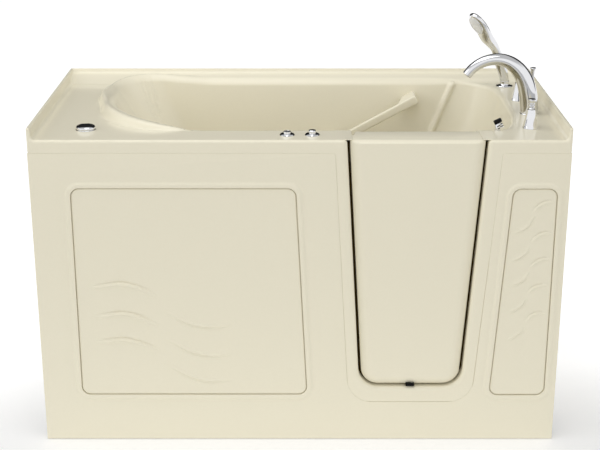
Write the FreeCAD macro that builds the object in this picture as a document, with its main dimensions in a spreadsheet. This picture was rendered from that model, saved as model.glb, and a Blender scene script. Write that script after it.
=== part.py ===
import FreeCAD, Part
import Sketcher
import math
import os

# Walk-in bathtub with air jets: a moulded shell with a seat, a footwell and a
# door, on a steel frame behind a front apron with two access panels.
# Millimetres. X runs along the tub, +Y goes to the back wall, +Z is up.
# The origin is on the floor under the middle of the tub.

V = FreeCAD.Vector
ROT = FreeCAD.Rotation
PL = FreeCAD.Placement
doc = FreeCAD.newDocument("WalkInTub")
sheet = doc.addObject("Spreadsheet::Sheet", "Dims")
count = [0]
NODES = []


def dim(alias, value):
    """One driving dimension: a cell with a number and a name."""
    count[0] += 1
    sheet.set("A%d" % count[0], alias.replace("_", " "))
    sheet.set("B%d" % count[0], repr(float(value)))
    sheet.setAlias("B%d" % count[0], alias)
    return "Dims." + alias


def get(alias):
    return float(sheet.get(alias))


def cell(label, key, value):
    """A number becomes a cell of its own; text is already an expression."""
    return value if isinstance(value, str) else dim("%s_%s" % (label, key), value)


def bind(obj, pairs):
    sheet.recompute()
    for prop, expr in pairs:
        obj.setExpression(prop, expr)


def place(obj, label, pos, rot=None):
    obj.Placement = PL(V(0, 0, 0), rot or ROT())
    bind(obj, [("Placement.Base." + a, cell(label, "at_" + a, p)) for a, p in zip("xyz", pos)])


def node(label, obj):
    obj.Label = label
    NODES.append((label, obj))
    return obj


def box(label, lo, hi):
    """A block from its lowest to its highest corner."""
    o = doc.addObject("Part::Box", label)
    size = [hi[i] - lo[i] for i in range(3)]
    bind(o, [(p, cell(label, p.lower(), s)) for p, s in zip(("Length", "Width", "Height"), size)])
    place(o, label, lo)
    return o


def cyl(label, r, length, pos, rot=None):
    o = doc.addObject("Part::Cylinder", label)
    bind(o, [("Radius", cell(label, "rad", r)), ("Height", cell(label, "len", length))])
    place(o, label, pos, rot)
    return o


def fuse(label, objs):
    o = doc.addObject("Part::MultiFuse", label)
    o.Shapes = objs
    o.Refine = True
    return o


def cut(label, base, tool):
    o = doc.addObject("Part::Cut", label)
    o.Base = base
    o.Tool = tool
    o.Refine = True
    return o


def common(label, a, b):
    o = doc.addObject("Part::MultiCommon", label)
    o.Shapes = [a, b]
    return o


def group(label, objs):
    """Several separate solids that make up one named piece."""
    o = doc.addObject("Part::Compound", label)
    o.Links = objs
    return o


def copies(label, obj, offsets):
    """Identical solids at several places."""
    obj.recompute(True)
    shapes = []
    for dx, dy, dz in offsets:
        s = obj.Shape.copy()
        s.translate(V(dx, dy, dz))
        shapes.append(s)
    o = doc.addObject("Part::Feature", label)
    o.Shape = Part.makeCompound(shapes)
    return o


def plane_of(body, role):
    return [f for f in body.Origin.OriginFeatures if f.Role == role][0]


def outline(body, label, key, role, pts, offset):
    """A closed outline on one of the body's planes, each corner held by two dimensions."""
    sk = body.newObject("Sketcher::SketchObject", "%s_%s" % (label, key))
    sk.AttachmentSupport = [(plane_of(body, role), "")]
    sk.MapMode = "FlatFace"
    sk.AttachmentOffset = PL(V(0, 0, offset), ROT())
    n = len(pts)
    for i in range(n):
        a, b = pts[i], pts[(i + 1) % n]
        sk.addGeometry(Part.LineSegment(V(a[0], a[1], 0), V(b[0], b[1], 0)), False)
    for i in range(n):
        sk.addConstraint(Sketcher.Constraint("Coincident", i, 2, (i + 1) % n, 1))
    pairs = []
    for i, p in enumerate(pts):
        for kind, v, ax in (("DistanceX", p[0], "x"), ("DistanceY", p[1], "y")):
            if abs(v) < 1e-9:
                c = sk.addConstraint(Sketcher.Constraint("PointOnObject", i, 1, -2 if ax == "x" else -1))
            else:
                c = sk.addConstraint(Sketcher.Constraint(kind, -1, 1, i, 1, v))
                name = "%s%d%s" % (key, i, ax)
                sk.renameConstraint(c, name)
                pairs.append(("Constraints." + name, dim("%s_%s_corner%d%s" % (label, key, i, ax), v)))
    bind(sk, pairs)
    return sk


def turned(label, pts, pos=(0, 0, 0), rot=None):
    """A turned piece: its half section (radius, height) revolved about its axis."""
    body = doc.addObject("PartDesign::Body", label)
    sk = outline(body, label, "half", "XZ_Plane", pts, 0)
    f = body.newObject("PartDesign::Revolution", label + "_turn")
    f.Profile = sk
    f.ReferenceAxis = (sk, ["V_Axis"])
    f.Angle = 360.0
    place(body, label, pos, rot)
    return body


def slabs(label, role, layers, pos=(0, 0, 0), cuts=()):
    """A piece padded from outlines. A layer is (corners, offset, thickness, {corner: radius})."""
    body = doc.addObject("PartDesign::Body", label)
    for k, (pts, offset, thick, rounds) in enumerate(layers):
        sk = outline(body, label, "layer%d_" % k, role, pts, offset)
        f = body.newObject("PartDesign::Pad", "%s_pad%d" % (label, k))
        f.Profile = sk
        bind(f, [("Length", cell(label, "layer%d_thick" % k, thick))])
        sk.recompute()
        f.recompute()
        round_corners(body, f, label, "pad%d" % k, role, pts, offset, thick, rounds)
    for k, (pts, offset, depth, rounds) in enumerate(cuts):
        before = body.Tip.Shape.Volume
        sk = outline(body, label, "cut%d_" % k, role, pts, offset)
        f = body.newObject("PartDesign::Pocket", "%s_pocket%d" % (label, k))
        f.Profile = sk
        f.Reversed = True
        bind(f, [("Length", cell(label, "cut%d_depth" % k, depth))])
        sk.recompute()
        f.recompute()
        assert f.Shape.Volume < before - 1.0, label + " pocket cuts nothing"
        round_corners(body, f, label, "pocket%d" % k, role, pts, offset, depth, rounds)
    place(body, label, pos)
    return body


def to_space(role, p, h):
    if role == "XZ_Plane":
        return V(p[0], -h, p[1])
    if role == "YZ_Plane":
        return V(h, p[0], p[1])
    return V(p[0], p[1], h)


def round_corners(body, feat, label, key, role, pts, offset, thick, rounds):
    """Round the upright edges at the named corners, one radius at a time."""
    by_radius = {}
    for i, r in rounds.items():
        by_radius.setdefault(r, []).append(i)
    base = feat
    for r, corners in by_radius.items():
        names = []
        for j, e in enumerate(base.Shape.Edges):
            ends = [v.Point for v in e.Vertexes]
            if len(ends) != 2:
                continue
            for i in corners:
                a, b = to_space(role, pts[i], offset), to_space(role, pts[i], offset + thick)
                d = min((ends[0] - a).Length + (ends[1] - b).Length, (ends[0] - b).Length + (ends[1] - a).Length)
                if d < 0.01:
                    names.append("Edge%d" % (j + 1))
        assert len(names) == len(corners), (label, key, names)
        f = body.newObject("PartDesign::Fillet", "%s_%s_round%d" % (label, key, int(r)))
        f.Base = (base, names)
        bind(f, [("Radius", cell(label, "%s_round%d" % (key, int(r)), r))])
        f.recompute()
        base = f


def route(pts, bend):
    """Straight runs joined by tangent arcs."""
    pts = [V(*p) for p in pts]
    edges, cur = [], pts[0]
    for i in range(1, len(pts) - 1):
        u = (pts[i] - pts[i - 1]).normalize()
        w = (pts[i + 1] - pts[i]).normalize()
        half = math.acos(max(-1, min(1, u.dot(w)))) / 2
        tan = bend * math.tan(half)
        a, b = pts[i] - u * tan, pts[i] + w * tan
        mid = (w - u).normalize()
        centre = pts[i] + mid * (bend / math.cos(half))
        m = centre - mid * bend
        if (a - cur).Length > 1e-6:
            edges.append(Part.LineSegment(cur, a).toShape())
        edges.append(Part.Arc(a, m, b).toShape())
        cur = b
    edges.append(Part.LineSegment(cur, pts[-1]).toShape())
    return Part.Wire(edges)


def tube(label, pts, r, bend):
    """A round tube along a route."""
    path = doc.addObject("Part::Feature", label + "_route")
    path.Shape = route(pts, bend)
    ring = doc.addObject("Part::Circle", label + "_section")
    bind(ring, [("Radius", cell(label, "rad", r))])
    d = V(*pts[1]) - V(*pts[0])
    ring.Placement = PL(V(*pts[0]), ROT(V(0, 0, 1), d))
    o = doc.addObject("Part::Sweep", label)
    o.Sections = [ring]
    o.Spine = (path, ["Edge%d" % (i + 1) for i in range(len(path.Shape.Edges))])
    o.Solid = True
    o.Frenet = False
    ring.recompute()
    o.recompute()
    want = path.Shape.Length * math.pi * r * r
    assert abs(o.Shape.Volume / want - 1) < 0.02, (label, o.Shape.Volume / want)
    return o


def spindle(label, rings):
    """A curved tapering piece through round sections (x, y, z, radius, direction)."""
    secs = []
    for k, (x, y, z, r, d) in enumerate(rings):
        c = doc.addObject("Part::Circle", "%s_ring%d" % (label, k))
        bind(c, [("Radius", cell(label, "ring%d_rad" % k, r))])
        c.Placement = PL(V(x, y, z), ROT(V(0, 0, 1), V(*d)))
        secs.append(c)
    o = doc.addObject("Part::Loft", label)
    o.Sections = secs
    o.Solid = True
    o.Ruled = False
    return o


# ---------------------------------------------------------------- main sizes
for a, v in (
    ("width", 1524), ("depth", 762), ("height", 972), ("deck_top", 938), ("deck_thick", 8),
    ("flange_thick", 12), ("lip_bottom", 900), ("wall", 6),
    # basin: top section at the flange height and bottom section at the seat
    ("basin_top", 972), ("seat_top", 550),
    ("basin_top_left", -609.6), ("basin_top_right", 643.7), ("basin_top_front", -279), ("basin_top_back", 307.7),
    ("basin_top_rad_fl", 425), ("basin_top_rad_bl", 130), ("basin_top_rad_br", 165), ("basin_top_rad_fr", 60),
    ("basin_low_left", -330), ("basin_low_right", 560), ("basin_low_front", -262), ("basin_low_back", 262),
    ("basin_low_rad_fl", 160), ("basin_low_rad_bl", 100), ("basin_low_rad_br", 240), ("basin_low_rad_fr", 60),
    # footwell
    ("well_top", 600), ("well_floor", 140), ("well_left", 104), ("well_top_right", 556), ("well_low_right", 545),
    ("well_front", -334), ("well_top_back", 268), ("well_low_back", 240), ("well_rad_front", 3),
    ("well_rad_bl", 60), ("well_top_rad_br", 200), ("well_low_rad_br", 110),
):
    dim(a, v)
sheet.recompute()
Y0 = -get("depth") / 2
DECK = get("deck_top")
T = get("wall")


def rounded(x0, x1, y0, y1, fl, bl, br, fr, z):
    """A rounded rectangle at one height, each corner with its own radius."""
    q = math.sqrt(0.5)
    ln = lambda a, b: Part.LineSegment(V(*a, z), V(*b, z)).toShape()
    ar = lambda a, m, b: Part.Arc(V(*a, z), V(*m, z), V(*b, z)).toShape()
    return Part.Wire([
        ln((x0 + fl, y0), (x1 - fr, y0)),
        ar((x1 - fr, y0), (x1 - fr + fr * q, y0 + fr - fr * q), (x1, y0 + fr)),
        ln((x1, y0 + fr), (x1, y1 - br)),
        ar((x1, y1 - br), (x1 - br + br * q, y1 - br + br * q), (x1 - br, y1)),
        ln((x1 - br, y1), (x0 + bl, y1)),
        ar((x0 + bl, y1), (x0 + bl - bl * q, y1 - bl + bl * q), (x0, y1 - bl)),
        ln((x0, y1 - bl), (x0, y0 + fl)),
        ar((x0, y0 + fl), (x0 + fl - fl * q, y0 + fl - fl * q), (x0 + fl, y0)),
    ])


def basin_section(z, grow):
    """The basin's inside outline at a height, grown by the wall for its outside."""
    k = (get("basin_top") - z) / (get("basin_top") - get("seat_top"))
    m = lambda n: get("basin_top_" + n) * (1 - k) + get("basin_low_" + n) * k
    return rounded(m("left") - grow, m("right") + grow, m("front") - grow, m("back") + grow,
                   m("rad_fl") + grow, m("rad_bl") + grow, m("rad_br") + grow, m("rad_fr") + grow, z)


def well_section(z, grow):
    k = (get("well_top") - z) / (get("well_top") - get("well_floor"))
    m = lambda a, b: get(a) * (1 - k) + get(b) * k
    return rounded(get("well_left") - grow, m("well_top_right", "well_low_right") + grow, get("well_front") - grow,
                   m("well_top_back", "well_low_back") + grow, get("well_rad_front") + grow, get("well_rad_bl") + grow,
                   m("well_top_rad_br", "well_low_rad_br") + grow, get("well_rad_front") + grow, z)


def loft2(label, w1, w2):
    secs = []
    for k, w in enumerate((w1, w2)):
        o = doc.addObject("Part::Feature", "%s_section%d" % (label, k))
        o.Shape = w
        secs.append(o)
    o = doc.addObject("Part::Loft", label)
    o.Sections = secs
    o.Solid = True
    o.Ruled = True
    return o


# ------------------------------------------------------------------ tub shell
basin_in = loft2("basin_inside", basin_section(get("basin_top"), 0), basin_section(get("seat_top"), 0))
basin_out = loft2("basin_outside", basin_section(DECK - 4, T), basin_section(get("seat_top") - T, T))
well_in = loft2("well_inside", well_section(get("well_top"), 0), well_section(get("well_floor"), 0))
well_out = loft2("well_outside", well_section(get("well_top") - 10, T), well_section(get("well_floor") - T, T))
recess_in = box("door_recess_inside", (104, -334, 165), (545, -240, 980))
recess_out = box("door_recess_outside", (98, -340, 140), (551, -245, 934))

deck = box("deck_plate", (-762, -381, 930), (762, 381, 938))
lip_block = box("lip_block", (-762, -381, 900), (762, 381, 934))
lip_hollow = box("lip_hollow", (-756, -375, 890), (756, 375, 940))
lip = cut("deck_lip", lip_block, lip_hollow)
flange_left = box("flange_left", (-762, -381, 930), (-750, 381, 972))
flange_right = box("flange_right", (750, -381, 930), (762, 381, 972))
flange_back = box("flange_back", (-762, 369, 930), (762, 381, 972))
ledge = slabs("back_ledge", "YZ_Plane", [([(312, 936), (372, 936), (372, 957), (322, 944), (312, 938)], -756, 1512, {})])

pillow_plan = doc.addObject("Part::Feature", "pillow_plan")
pillow_plan.Shape = Part.Face(rounded(-628, -250, -302, 332, 300, 150, 5, 5, 934))
pillow_block = doc.addObject("Part::Extrusion", "pillow_block")
pillow_block.Base = pillow_plan
pillow_block.DirMode = "Custom"
pillow_block.Dir = V(0, 0, 1)
pillow_block.LengthFwd = 34
pillow_block.Solid = True
pillow_wedge = slabs("pillow_wedge", "XZ_Plane", [([(-660, 930), (-300, 930), (-300, 938), (-480, 962), (-600, 967), (-660, 964)], -400, 800, {})])
pillow = common("headrest_pillow", pillow_block, pillow_wedge)

surround = slabs("door_surround", "XZ_Plane", [([(97, 938), (145, 126), (513, 126), (573, 938)], 334, 47, {1: 75, 2: 75})])
opening = slabs("door_opening", "XZ_Plane", [([(132.5, 945), (177.5, 178.5), (475, 178.5), (529.9, 945)], 320, 70, {1: 60, 2: 60})])

outside = fuse("shell_outside", [deck, lip, flange_left, flange_right, flange_back, ledge, pillow, basin_out, well_out, recess_out, surround])
inside = fuse("shell_inside", [basin_in, well_in, recess_in, opening])

JETS = [(x, y) for y in (-160, 160) for x in (-190, -120, -50, 20)] + [(-230, -60), (-230, 60)]
WALL_TILT = math.degrees(math.atan((get("basin_top_right") - get("basin_low_right")) / (get("basin_top") - get("seat_top"))))
OVER_Z = 730.0
OVER_X = get("basin_low_right") + (OVER_Z - get("seat_top")) * math.tan(math.radians(WALL_TILT))
OVER_ROT = ROT(V(0, 1, 0), -(90 - WALL_TILT))
OVER_N = V(-math.cos(math.radians(WALL_TILT)), 0, math.sin(math.radians(WALL_TILT)))
COLD, HOT, SPOUT, DIVERT, DOCK = (664, -249), (680, 79), (688, -85), (704, -20), (666, 269)
CAP = (-613, -265)
BUTTONS = [(-35, -324), (36, -324)]
DRAIN = (330, 20)
holes = [cyl("hole_button%d" % i, 14.2, 40, (x, y, 910)) for i, (x, y) in enumerate(BUTTONS)]
holes += [
    cyl("hole_intake", 22, 40, (*CAP, 910)), cyl("hole_cold", 15, 40, (*COLD, 910)), cyl("hole_hot", 15, 40, (*HOT, 910)),
    cyl("hole_spout", 15, 40, (*SPOUT, 910)), cyl("hole_diverter", 11, 40, (*DIVERT, 910)), cyl("hole_dock", 14, 40, (*DOCK, 910)),
    cyl("hole_drain", 24.3, 40, (*DRAIN, 120)),
    cyl("hole_overflow", 22, 40, (OVER_X - OVER_N.x * 20, DRAIN[1], OVER_Z - OVER_N.z * 20), OVER_ROT),
]
holes += [cyl("hole_jet%d" % i, 6.2, 40, (x, y, 530)) for i, (x, y) in enumerate(JETS)]
whole_shell = cut("shell_whole", cut("shell_hollow", outside, inside), fuse("shell_holes", holes))
# one moulding, held as wall and floor panels that meet face to face
X_CUTS, Y_CUTS, Z_CUTS = (-763, -200, 60, 330, 763), (-382, 0, 382), (100, 560, 980)
panels = []
for i in range(4):
    for j in range(2):
        for k in range(2):
            region = box("shell_region%d%d%d" % (i, j, k), (X_CUTS[i], Y_CUTS[j], Z_CUTS[k]), (X_CUTS[i + 1], Y_CUTS[j + 1], Z_CUTS[k + 1]))
            panels.append(common("shell_panel%d%d%d" % (i, j, k), whole_shell, region))
node("tub_shell", group("tub_shell", panels))

# --------------------------------------------------- front apron and panels
LEFT_HOLE = [(-648.5, 798.5), (-648.5, 151.5), (23.3, 151.5), (-9.8, 798.5)]
RIGHT_HOLE = [(603, 797.5), (563.1, 149.5), (730, 149.5), (730, 797.5)]
LEFT_PANEL = [(-645.5, 795.5), (-645.5, 154.5), (20.2, 154.5), (-12.9, 795.5)]
RIGHT_PANEL = [(606.1, 794.5), (566.4, 152.5), (727, 152.5), (727, 794.5)]
R4 = {0: 26, 1: 26, 2: 26, 3: 26}
R4P = {0: 23, 1: 23, 2: 23, 3: 23}
node("front_apron", slabs(
    "front_apron", "XZ_Plane",
    [([(-762, 3), (762, 3), (762, 898.5), (571.6, 898.5), (514.6, 124.5), (143.4, 124.5), (97.8, 898.5), (-762, 898.5)], 375, 6, {4: 76, 5: 76}),
     ([(-762, 3), (-756, 3), (-756, 898.5), (-762, 898.5)], 351, 24, {}),
     ([(756, 3), (762, 3), (762, 898.5), (756, 898.5)], 351, 24, {})],
    cuts=[(LEFT_HOLE, 375, 6, R4), (RIGHT_HOLE, 375, 6, R4)]))
node("left_access_panel", slabs("left_access_panel", "XZ_Plane", [(LEFT_PANEL, 375.3, 5.7, R4P)]))
node("right_access_panel", slabs("right_access_panel", "XZ_Plane", [(RIGHT_PANEL, 375.3, 5.7, R4P)]))
# magnetic catches bridge the edge of each panel opening from behind
CATCHES = [(-649, 250), (-649, 700), (17, 250), (-6, 700), (572, 250), (600, 700), (730, 250), (730, 700)]
catch = [box("catch%d" % i, (x - 16, -375, z - 20), (x + 16, -368.4, z + 20)) for i, (x, z) in enumerate(CATCHES)]
node("panel_magnet_catches", group("panel_magnet_catches", catch))

# ------------------------------------------------------------------ the door
node("door_panel", slabs("door_panel", "XZ_Plane", [
    ([(142, 936), (186.6, 187.5), (465.9, 187.5), (520.2, 936)], 330, 49, {1: 51, 2: 51}),
    ([(126, 936), (171.6, 171.5), (480.8, 171.5), (536.2, 936)], 312, 18, {1: 62, 2: 62}),
    ([(158, 936), (158, 905), (532, 905), (534, 936)], 278, 34, {})]))
node("door_seal", slabs("door_seal", "XZ_Plane", [
    ([(128, 934), (173.2, 173.5), (479.2, 173.5), (534.2, 934), (523.2, 934), (468, 185.5), (184.6, 185.5), (139.8, 934)], 330, 3.5,
     {1: 60, 2: 60, 5: 52, 6: 52})]))
HX, HY = 117.0, -312.0
jamb_leaf, door_leaf, pins = [], [], []
for i, zc in enumerate((300.0, 780.0)):
    n = "hinge%d" % i
    solid = fuse(n + "_jamb_solid", [
        box(n + "_jamb_plate", (104, -326, zc - 40), (107, -297, zc + 40)),
        box(n + "_jamb_arm_low", (105, -314.5, zc - 40), (117, -309.5, zc - 14)),
        box(n + "_jamb_arm_high", (105, -314.5, zc + 14), (117, -309.5, zc + 40)),
        cyl(n + "_jamb_barrel_low", 6.5, 26, (HX, HY, zc - 40)),
        cyl(n + "_jamb_barrel_high", 6.5, 26, (HX, HY, zc + 14))])
    jamb_leaf.append(cut(n + "_jamb_leaf", solid, cyl(n + "_jamb_bore", 3.05, 100, (HX, HY, zc - 50))))
    solid = fuse(n + "_door_solid", [
        box(n + "_door_plate", (126, -312, zc - 36), (200, -309, zc + 36)),
        box(n + "_door_arm", (117, -312, zc - 13.6), (130, -307, zc + 13.6)),
        cyl(n + "_door_barrel", 6.5, 27.2, (HX, HY, zc - 13.6))])
    door_leaf.append(cut(n + "_door_leaf", solid, cyl(n + "_door_bore", 3.05, 100, (HX, HY, zc - 50))))
    pins.append(turned(n + "_pin", [(0, 0), (3, 0), (3, 84), (5, 84), (5, 87), (0, 87)], (HX, HY, zc - 43.8)))
node("hinge_jamb_leaves", group("hinge_jamb_leaves", jamb_leaf))
node("hinge_door_leaves", group("hinge_door_leaves", door_leaf))
node("hinge_pins", group("hinge_pins", pins))
node("sill_weep", box("sill_weep", (316, -380, 178.5), (342, -364, 185.8)))

# latch on the right jamb: a lever on a pivot along Y, and a keeper on the door
LX, LZ = 567.0, 926.0
ALONG_Y = ROT(V(0, 0, 1), V(0, 1, 0))
latch_block = common("latch_plate", box("latch_plate_block", (554, -300, 902), (580, -268.6, 936)), basin_in)
node("latch_base", fuse("latch_base", [latch_block, cyl("latch_pivot", 5, 18, (LX, -270, LZ), ALONG_Y)]))
# the grip lies across the top of the lever at a slant
SLANT = math.radians(26)
GE, GW = (math.cos(SLANT) * 11.5, math.sin(SLANT) * 11.5), (-math.sin(SLANT) * 4.8, math.cos(SLANT) * 4.8)
grip_corner = lambda i, j: (0.7 + GE[0] * i + GW[0] * j, 35.6 + GE[1] * i + GW[1] * j)
under_grip = lambda x: (x, grip_corner(-1, -1)[1] + (x - grip_corner(-1, -1)[0]) * math.tan(SLANT))
lever_arm = slabs("latch_arm", "XZ_Plane", [([(-7, 0), (7, 0), under_grip(9), under_grip(-7.4)], 260, 8, {})], (LX, 0, LZ))
lever = cut("latch_lever", fuse("latch_lever_solid", [lever_arm, cyl("latch_hub", 11, 12, (LX, -268, LZ), ALONG_Y)]),
            cyl("latch_bore", 5.06, 40, (LX, -285, LZ), ALONG_Y))
node("latch_lever", lever)
node("latch_grip", slabs("latch_grip", "XZ_Plane", [([grip_corner(-1, -1), grip_corner(1, -1), grip_corner(1, 1), grip_corner(-1, 1)], 253, 15, {})], (LX, 0, LZ)))
node("latch_keeper", box("latch_keeper", (505, -278, 910), (532, -269.2, 935)))

# ------------------------------------------------------------------- grab bar
# a moulded rail on the slant, standing off the back wall on a block at each end
BAR_END, BAR_U, BAR_V = (380.0, 901.0), (-0.8744, -0.4852), (-0.4852, 0.8744)
along = lambda a, w: (BAR_END[0] + BAR_U[0] * a + BAR_V[0] * w, BAR_END[1] + BAR_U[1] * a + BAR_V[1] * w)
run = lambda a, b: [along(a, 10.8), along(b, 10.8), along(b, -10.8), along(a, -10.8)]
rail = slabs("grab_rail", "XZ_Plane", [(run(0, 345), -256, 18, {}), (run(0, 60), -330, 92, {}), (run(285, 345), -330, 92, {})])
node("grab_bar", common("grab_bar", rail, basin_in))

# ------------------------------------------------------ deck buttons and cap
bezels = [turned("bezel%d" % i, [(0, 900), (3, 900), (3, 913), (14, 913), (14, 938), (21.5, 938), (21.5, 940), (19, 943), (11.3, 944), (11.3, 925), (0, 925)], (x, y, 0))
          for i, (x, y) in enumerate(BUTTONS)]
node("button_bezels", group("button_bezels", bezels))
nuts = [turned("button_nut%d" % i, [(14.1, 921), (17.5, 921), (17.5, 930), (14.1, 930)], (x, y, 0)) for i, (x, y) in enumerate(BUTTONS)]
node("jet_button", turned("jet_button", [(0, 930), (11, 930), (11, 949), (10, 950), (0, 950)], (*BUTTONS[0], 0)))
node("speed_button", turned("speed_button", [(0, 930), (11, 930), (11, 947), (9.5, 951), (5, 953.5), (0, 954)], (*BUTTONS[1], 0)))
node("air_intake_base", turned("air_intake_base", [(17, 890), (21.5, 890), (21.5, 938), (29, 938), (29, 940), (27, 941), (17, 941)], (*CAP, 0)))
node("air_intake_cap", turned("air_intake_cap", [(0, 925), (16.6, 925), (16.6, 941.4), (28.5, 941.4), (28.5, 944), (24, 949), (12, 952), (0, 952.5)], (*CAP, 0)))
nuts.append(turned("air_intake_nut", [(21.6, 922), (28, 922), (28, 930), (21.6, 930)], (*CAP, 0)))

# ------------------------------------------------------------------ deck taps
cones = [turned("cone%d" % i, [(5.3, 938), (21, 938), (21, 940), (11.5, 994), (5.3, 994)], (x, y, 0)) for i, (x, y) in enumerate((COLD, HOT))]
node("handle_escutcheons", group("handle_escutcheons", cones))
for name, (x, y) in (("cold_handle", COLD), ("hot_handle", HOT)):
    node(name, turned(name, [(0, 958), (5, 958), (5, 994.4), (9.3, 994.4), (9.3, 1016), (11, 1021), (11, 1024), (0, 1024)], (x, y, 0)))
node("mixer_valves", group("mixer_valves", [
    turned(name, [(0, 815), (10.48, 815), (10.48, 845), (18, 845), (18, 884), (14.5, 884), (14.5, 938), (5.2, 938), (5.2, 950), (0, 950)], (x, y, 0))
    for name, (x, y) in (("cold_valve", COLD), ("hot_valve", HOT))]))
SP = [(688, 930, 27), (686, 965, 27.2), (681, 1000, 27), (671, 1035, 25.6), (655, 1064, 23.5), (633, 1086, 21.2), (608, 1099, 19), (583, 1103, 17.6),
      (556, 1099.5, 16.4), (530, 1088, 15.4), (510, 1072.5, 14.7), (497, 1056.5, 14.3)]
rings = []
for k, (x, z, r) in enumerate(SP):
    a, b = SP[max(k - 1, 0)], SP[min(k + 1, len(SP) - 1)]
    d = (0, 0, 1) if k == 0 else (b[0] - a[0], 0, b[1] - a[1])
    rings.append((x, SPOUT[1], z, r, d))
spout_arch = spindle("spout_arch", rings)
spout_low = box("spout_below_deck", (600, -200, 900), (760, 0, 938))
spout_shank = cyl("spout_shank", 14.6, 88, (*SPOUT, 855))
node("spout", fuse("spout", [cut("spout_trim", spout_arch, spout_low), spout_shank]))
node("diverter_valve", turned("diverter_valve", [(4.3, 900), (4.3, 855), (16, 855), (16, 890), (10.6, 890), (10.6, 938), (14, 938), (14, 944), (8, 952), (4.3, 952)], (*DIVERT, 0)))
node("diverter_knob", turned("diverter_knob", [(0, 866), (4, 866), (4, 1030), (4.6, 1042), (6.2, 1052), (9, 1060), (9, 1063), (0, 1064)], (*DIVERT, 0)))
node("deck_lock_nuts", group("deck_lock_nuts", nuts + [
    turned("nut_%s" % n, [(r + 0.1, 918), (r + 7, 918), (r + 7, 930), (r + 0.1, 930)], (x, y, 0))
    for n, (x, y), r in (("cold", COLD, 14.5), ("hot", HOT, 14.5), ("spout", SPOUT, 14.6), ("divert", DIVERT, 10.6), ("dock", DOCK, 13.6))]))


def pipe_between(label, a, b, z, r):
    d = V(b[0] - a[0], b[1] - a[1], 0)
    return cyl(label, r, d.Length, (a[0], a[1], z), ROT(V(0, 0, 1), d))


bodies_round = fuse("mixer_bodies", [cyl("mix_cold", 18, 40, (*COLD, 844)), cyl("mix_spout", 14.6, 40, (*SPOUT, 844)), cyl("mix_divert", 16, 40, (*DIVERT, 844)), cyl("mix_hot", 18, 40, (*HOT, 844))])
node("mixer_pipes", group("mixer_pipes", [
    cut("mix_pipe%d" % i, pipe_between("mix_run%d" % i, a, b, 866, 6.5), bodies_round)
    for i, (a, b) in enumerate(((COLD, SPOUT), (SPOUT, DIVERT), (DIVERT, HOT)))]))

# hand shower, standing in its dock
node("shower_dock", turned("shower_dock", [(8.6, 905), (13.6, 905), (13.6, 938), (27.5, 938), (27.5, 941), (23, 944), (15, 946), (15, 956), (8.6, 956)], (*DOCK, 0)))
# it leans to the left and towards the front
LEAN, TIP = V(-0.8192, -0.5736, 0), math.radians(39.5)
on_lean = lambda t, z: V(DOCK[0] + LEAN.x * t, DOCK[1] + LEAN.y * t, z)
HS = [(0, 956.4, 14.5, 0), (8.5, 982, 15.2, 0.4), (20.8, 1006.6, 15.6, 0.48), (31.2, 1029.2, 14, 0.44), (40.6, 1051.6, 12.4, 0.42), (49.5, 1069.7, 11.8, 0.6),
      (64, 1090, 12.5, 0.9), (83, 1107, 13, 0.95), (105, 1131, 10, 0.9)]
grip = spindle("shower_grip", [(*on_lean(t, z), r, (LEAN.x * d, LEAN.y * d, 1)) for t, z, r, d in HS])
HEAD_N = (LEAN * math.cos(TIP) - V(0, 0, 1) * math.sin(TIP)).normalize()
HEAD_C = on_lean(122, 1151) + HEAD_N * 8
head = cyl("shower_head", 37, 24, tuple(HEAD_C - HEAD_N * 20), ROT(V(0, 0, 1), HEAD_N))
node("hand_shower", fuse("hand_shower", [grip, head]))
node("shower_spray_face", cyl("shower_spray_face", 31, 4, tuple(HEAD_C + HEAD_N * 4), ROT(V(0, 0, 1), HEAD_N)))
node("shower_hose", turned("shower_hose", [(0, 640), (9, 640), (9, 668), (7, 672), (7, 956.4), (0, 956.4)], (*DOCK, 0)))

# ------------------------------------------------------- waste and overflow
drain = doc.addObject("PartDesign::Body", "drain_flange")
sk = outline(drain, "drain_flange", "half", "XZ_Plane", [(5.3, 112), (24, 112), (24, 140), (40, 140), (40, 141.5), (37, 143), (19, 143), (19, 120), (5.3, 120)], 0)
f = drain.newObject("PartDesign::Revolution", "drain_flange_turn")
f.Profile, f.ReferenceAxis, f.Angle = sk, (sk, ["V_Axis"]), 360.0
sk.recompute()
f.recompute()
solid_before = f.Shape.Volume
sk = drain.newObject("Sketcher::SketchObject", "drain_flange_slot")
sk.AttachmentSupport = [(plane_of(drain, "XY_Plane"), "")]
sk.MapMode = "FlatFace"
sk.AttachmentOffset = PL(V(0, 0, 110), ROT())
sk.addGeometry(Part.Circle(V(12, 0, 0), V(0, 0, 1), 4.5), False)
sk.addConstraint(Sketcher.Constraint("PointOnObject", 0, 3, -1))
c1 = sk.addConstraint(Sketcher.Constraint("DistanceX", -1, 1, 0, 3, 12.0))
c2 = sk.addConstraint(Sketcher.Constraint("Radius", 0, 4.5))
sk.renameConstraint(c1, "slot_circle")
sk.renameConstraint(c2, "slot_rad")
bind(sk, [("Constraints.slot_circle", dim("drain_slot_circle", 12)), ("Constraints.slot_rad", dim("drain_slot_rad", 4.5))])
pk = drain.newObject("PartDesign::Pocket", "drain_flange_hole")
pk.Profile = sk
pk.Reversed = True
bind(pk, [("Length", dim("drain_slot_depth", 14))])
sk.recompute()
pk.recompute()
assert pk.Shape.Volume < solid_before - 300
pat = drain.newObject("PartDesign::PolarPattern", "drain_flange_holes")
pat.Originals = [pk]
pat.Axis = ([f for f in drain.Origin.OriginFeatures if f.Role == "Z_Axis"][0], [""])
pat.Angle = 360.0
pat.Occurrences = 6
drain.Tip = pat
place(drain, "drain_flange", (*DRAIN, 0))
node("drain_flange", drain)
node("drain_stopper", turned("drain_stopper", [(0, 106), (5, 106), (5, 143.4), (26, 143.4), (27, 145), (24, 149), (10, 151), (0, 151)], (*DRAIN, 0)))
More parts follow.
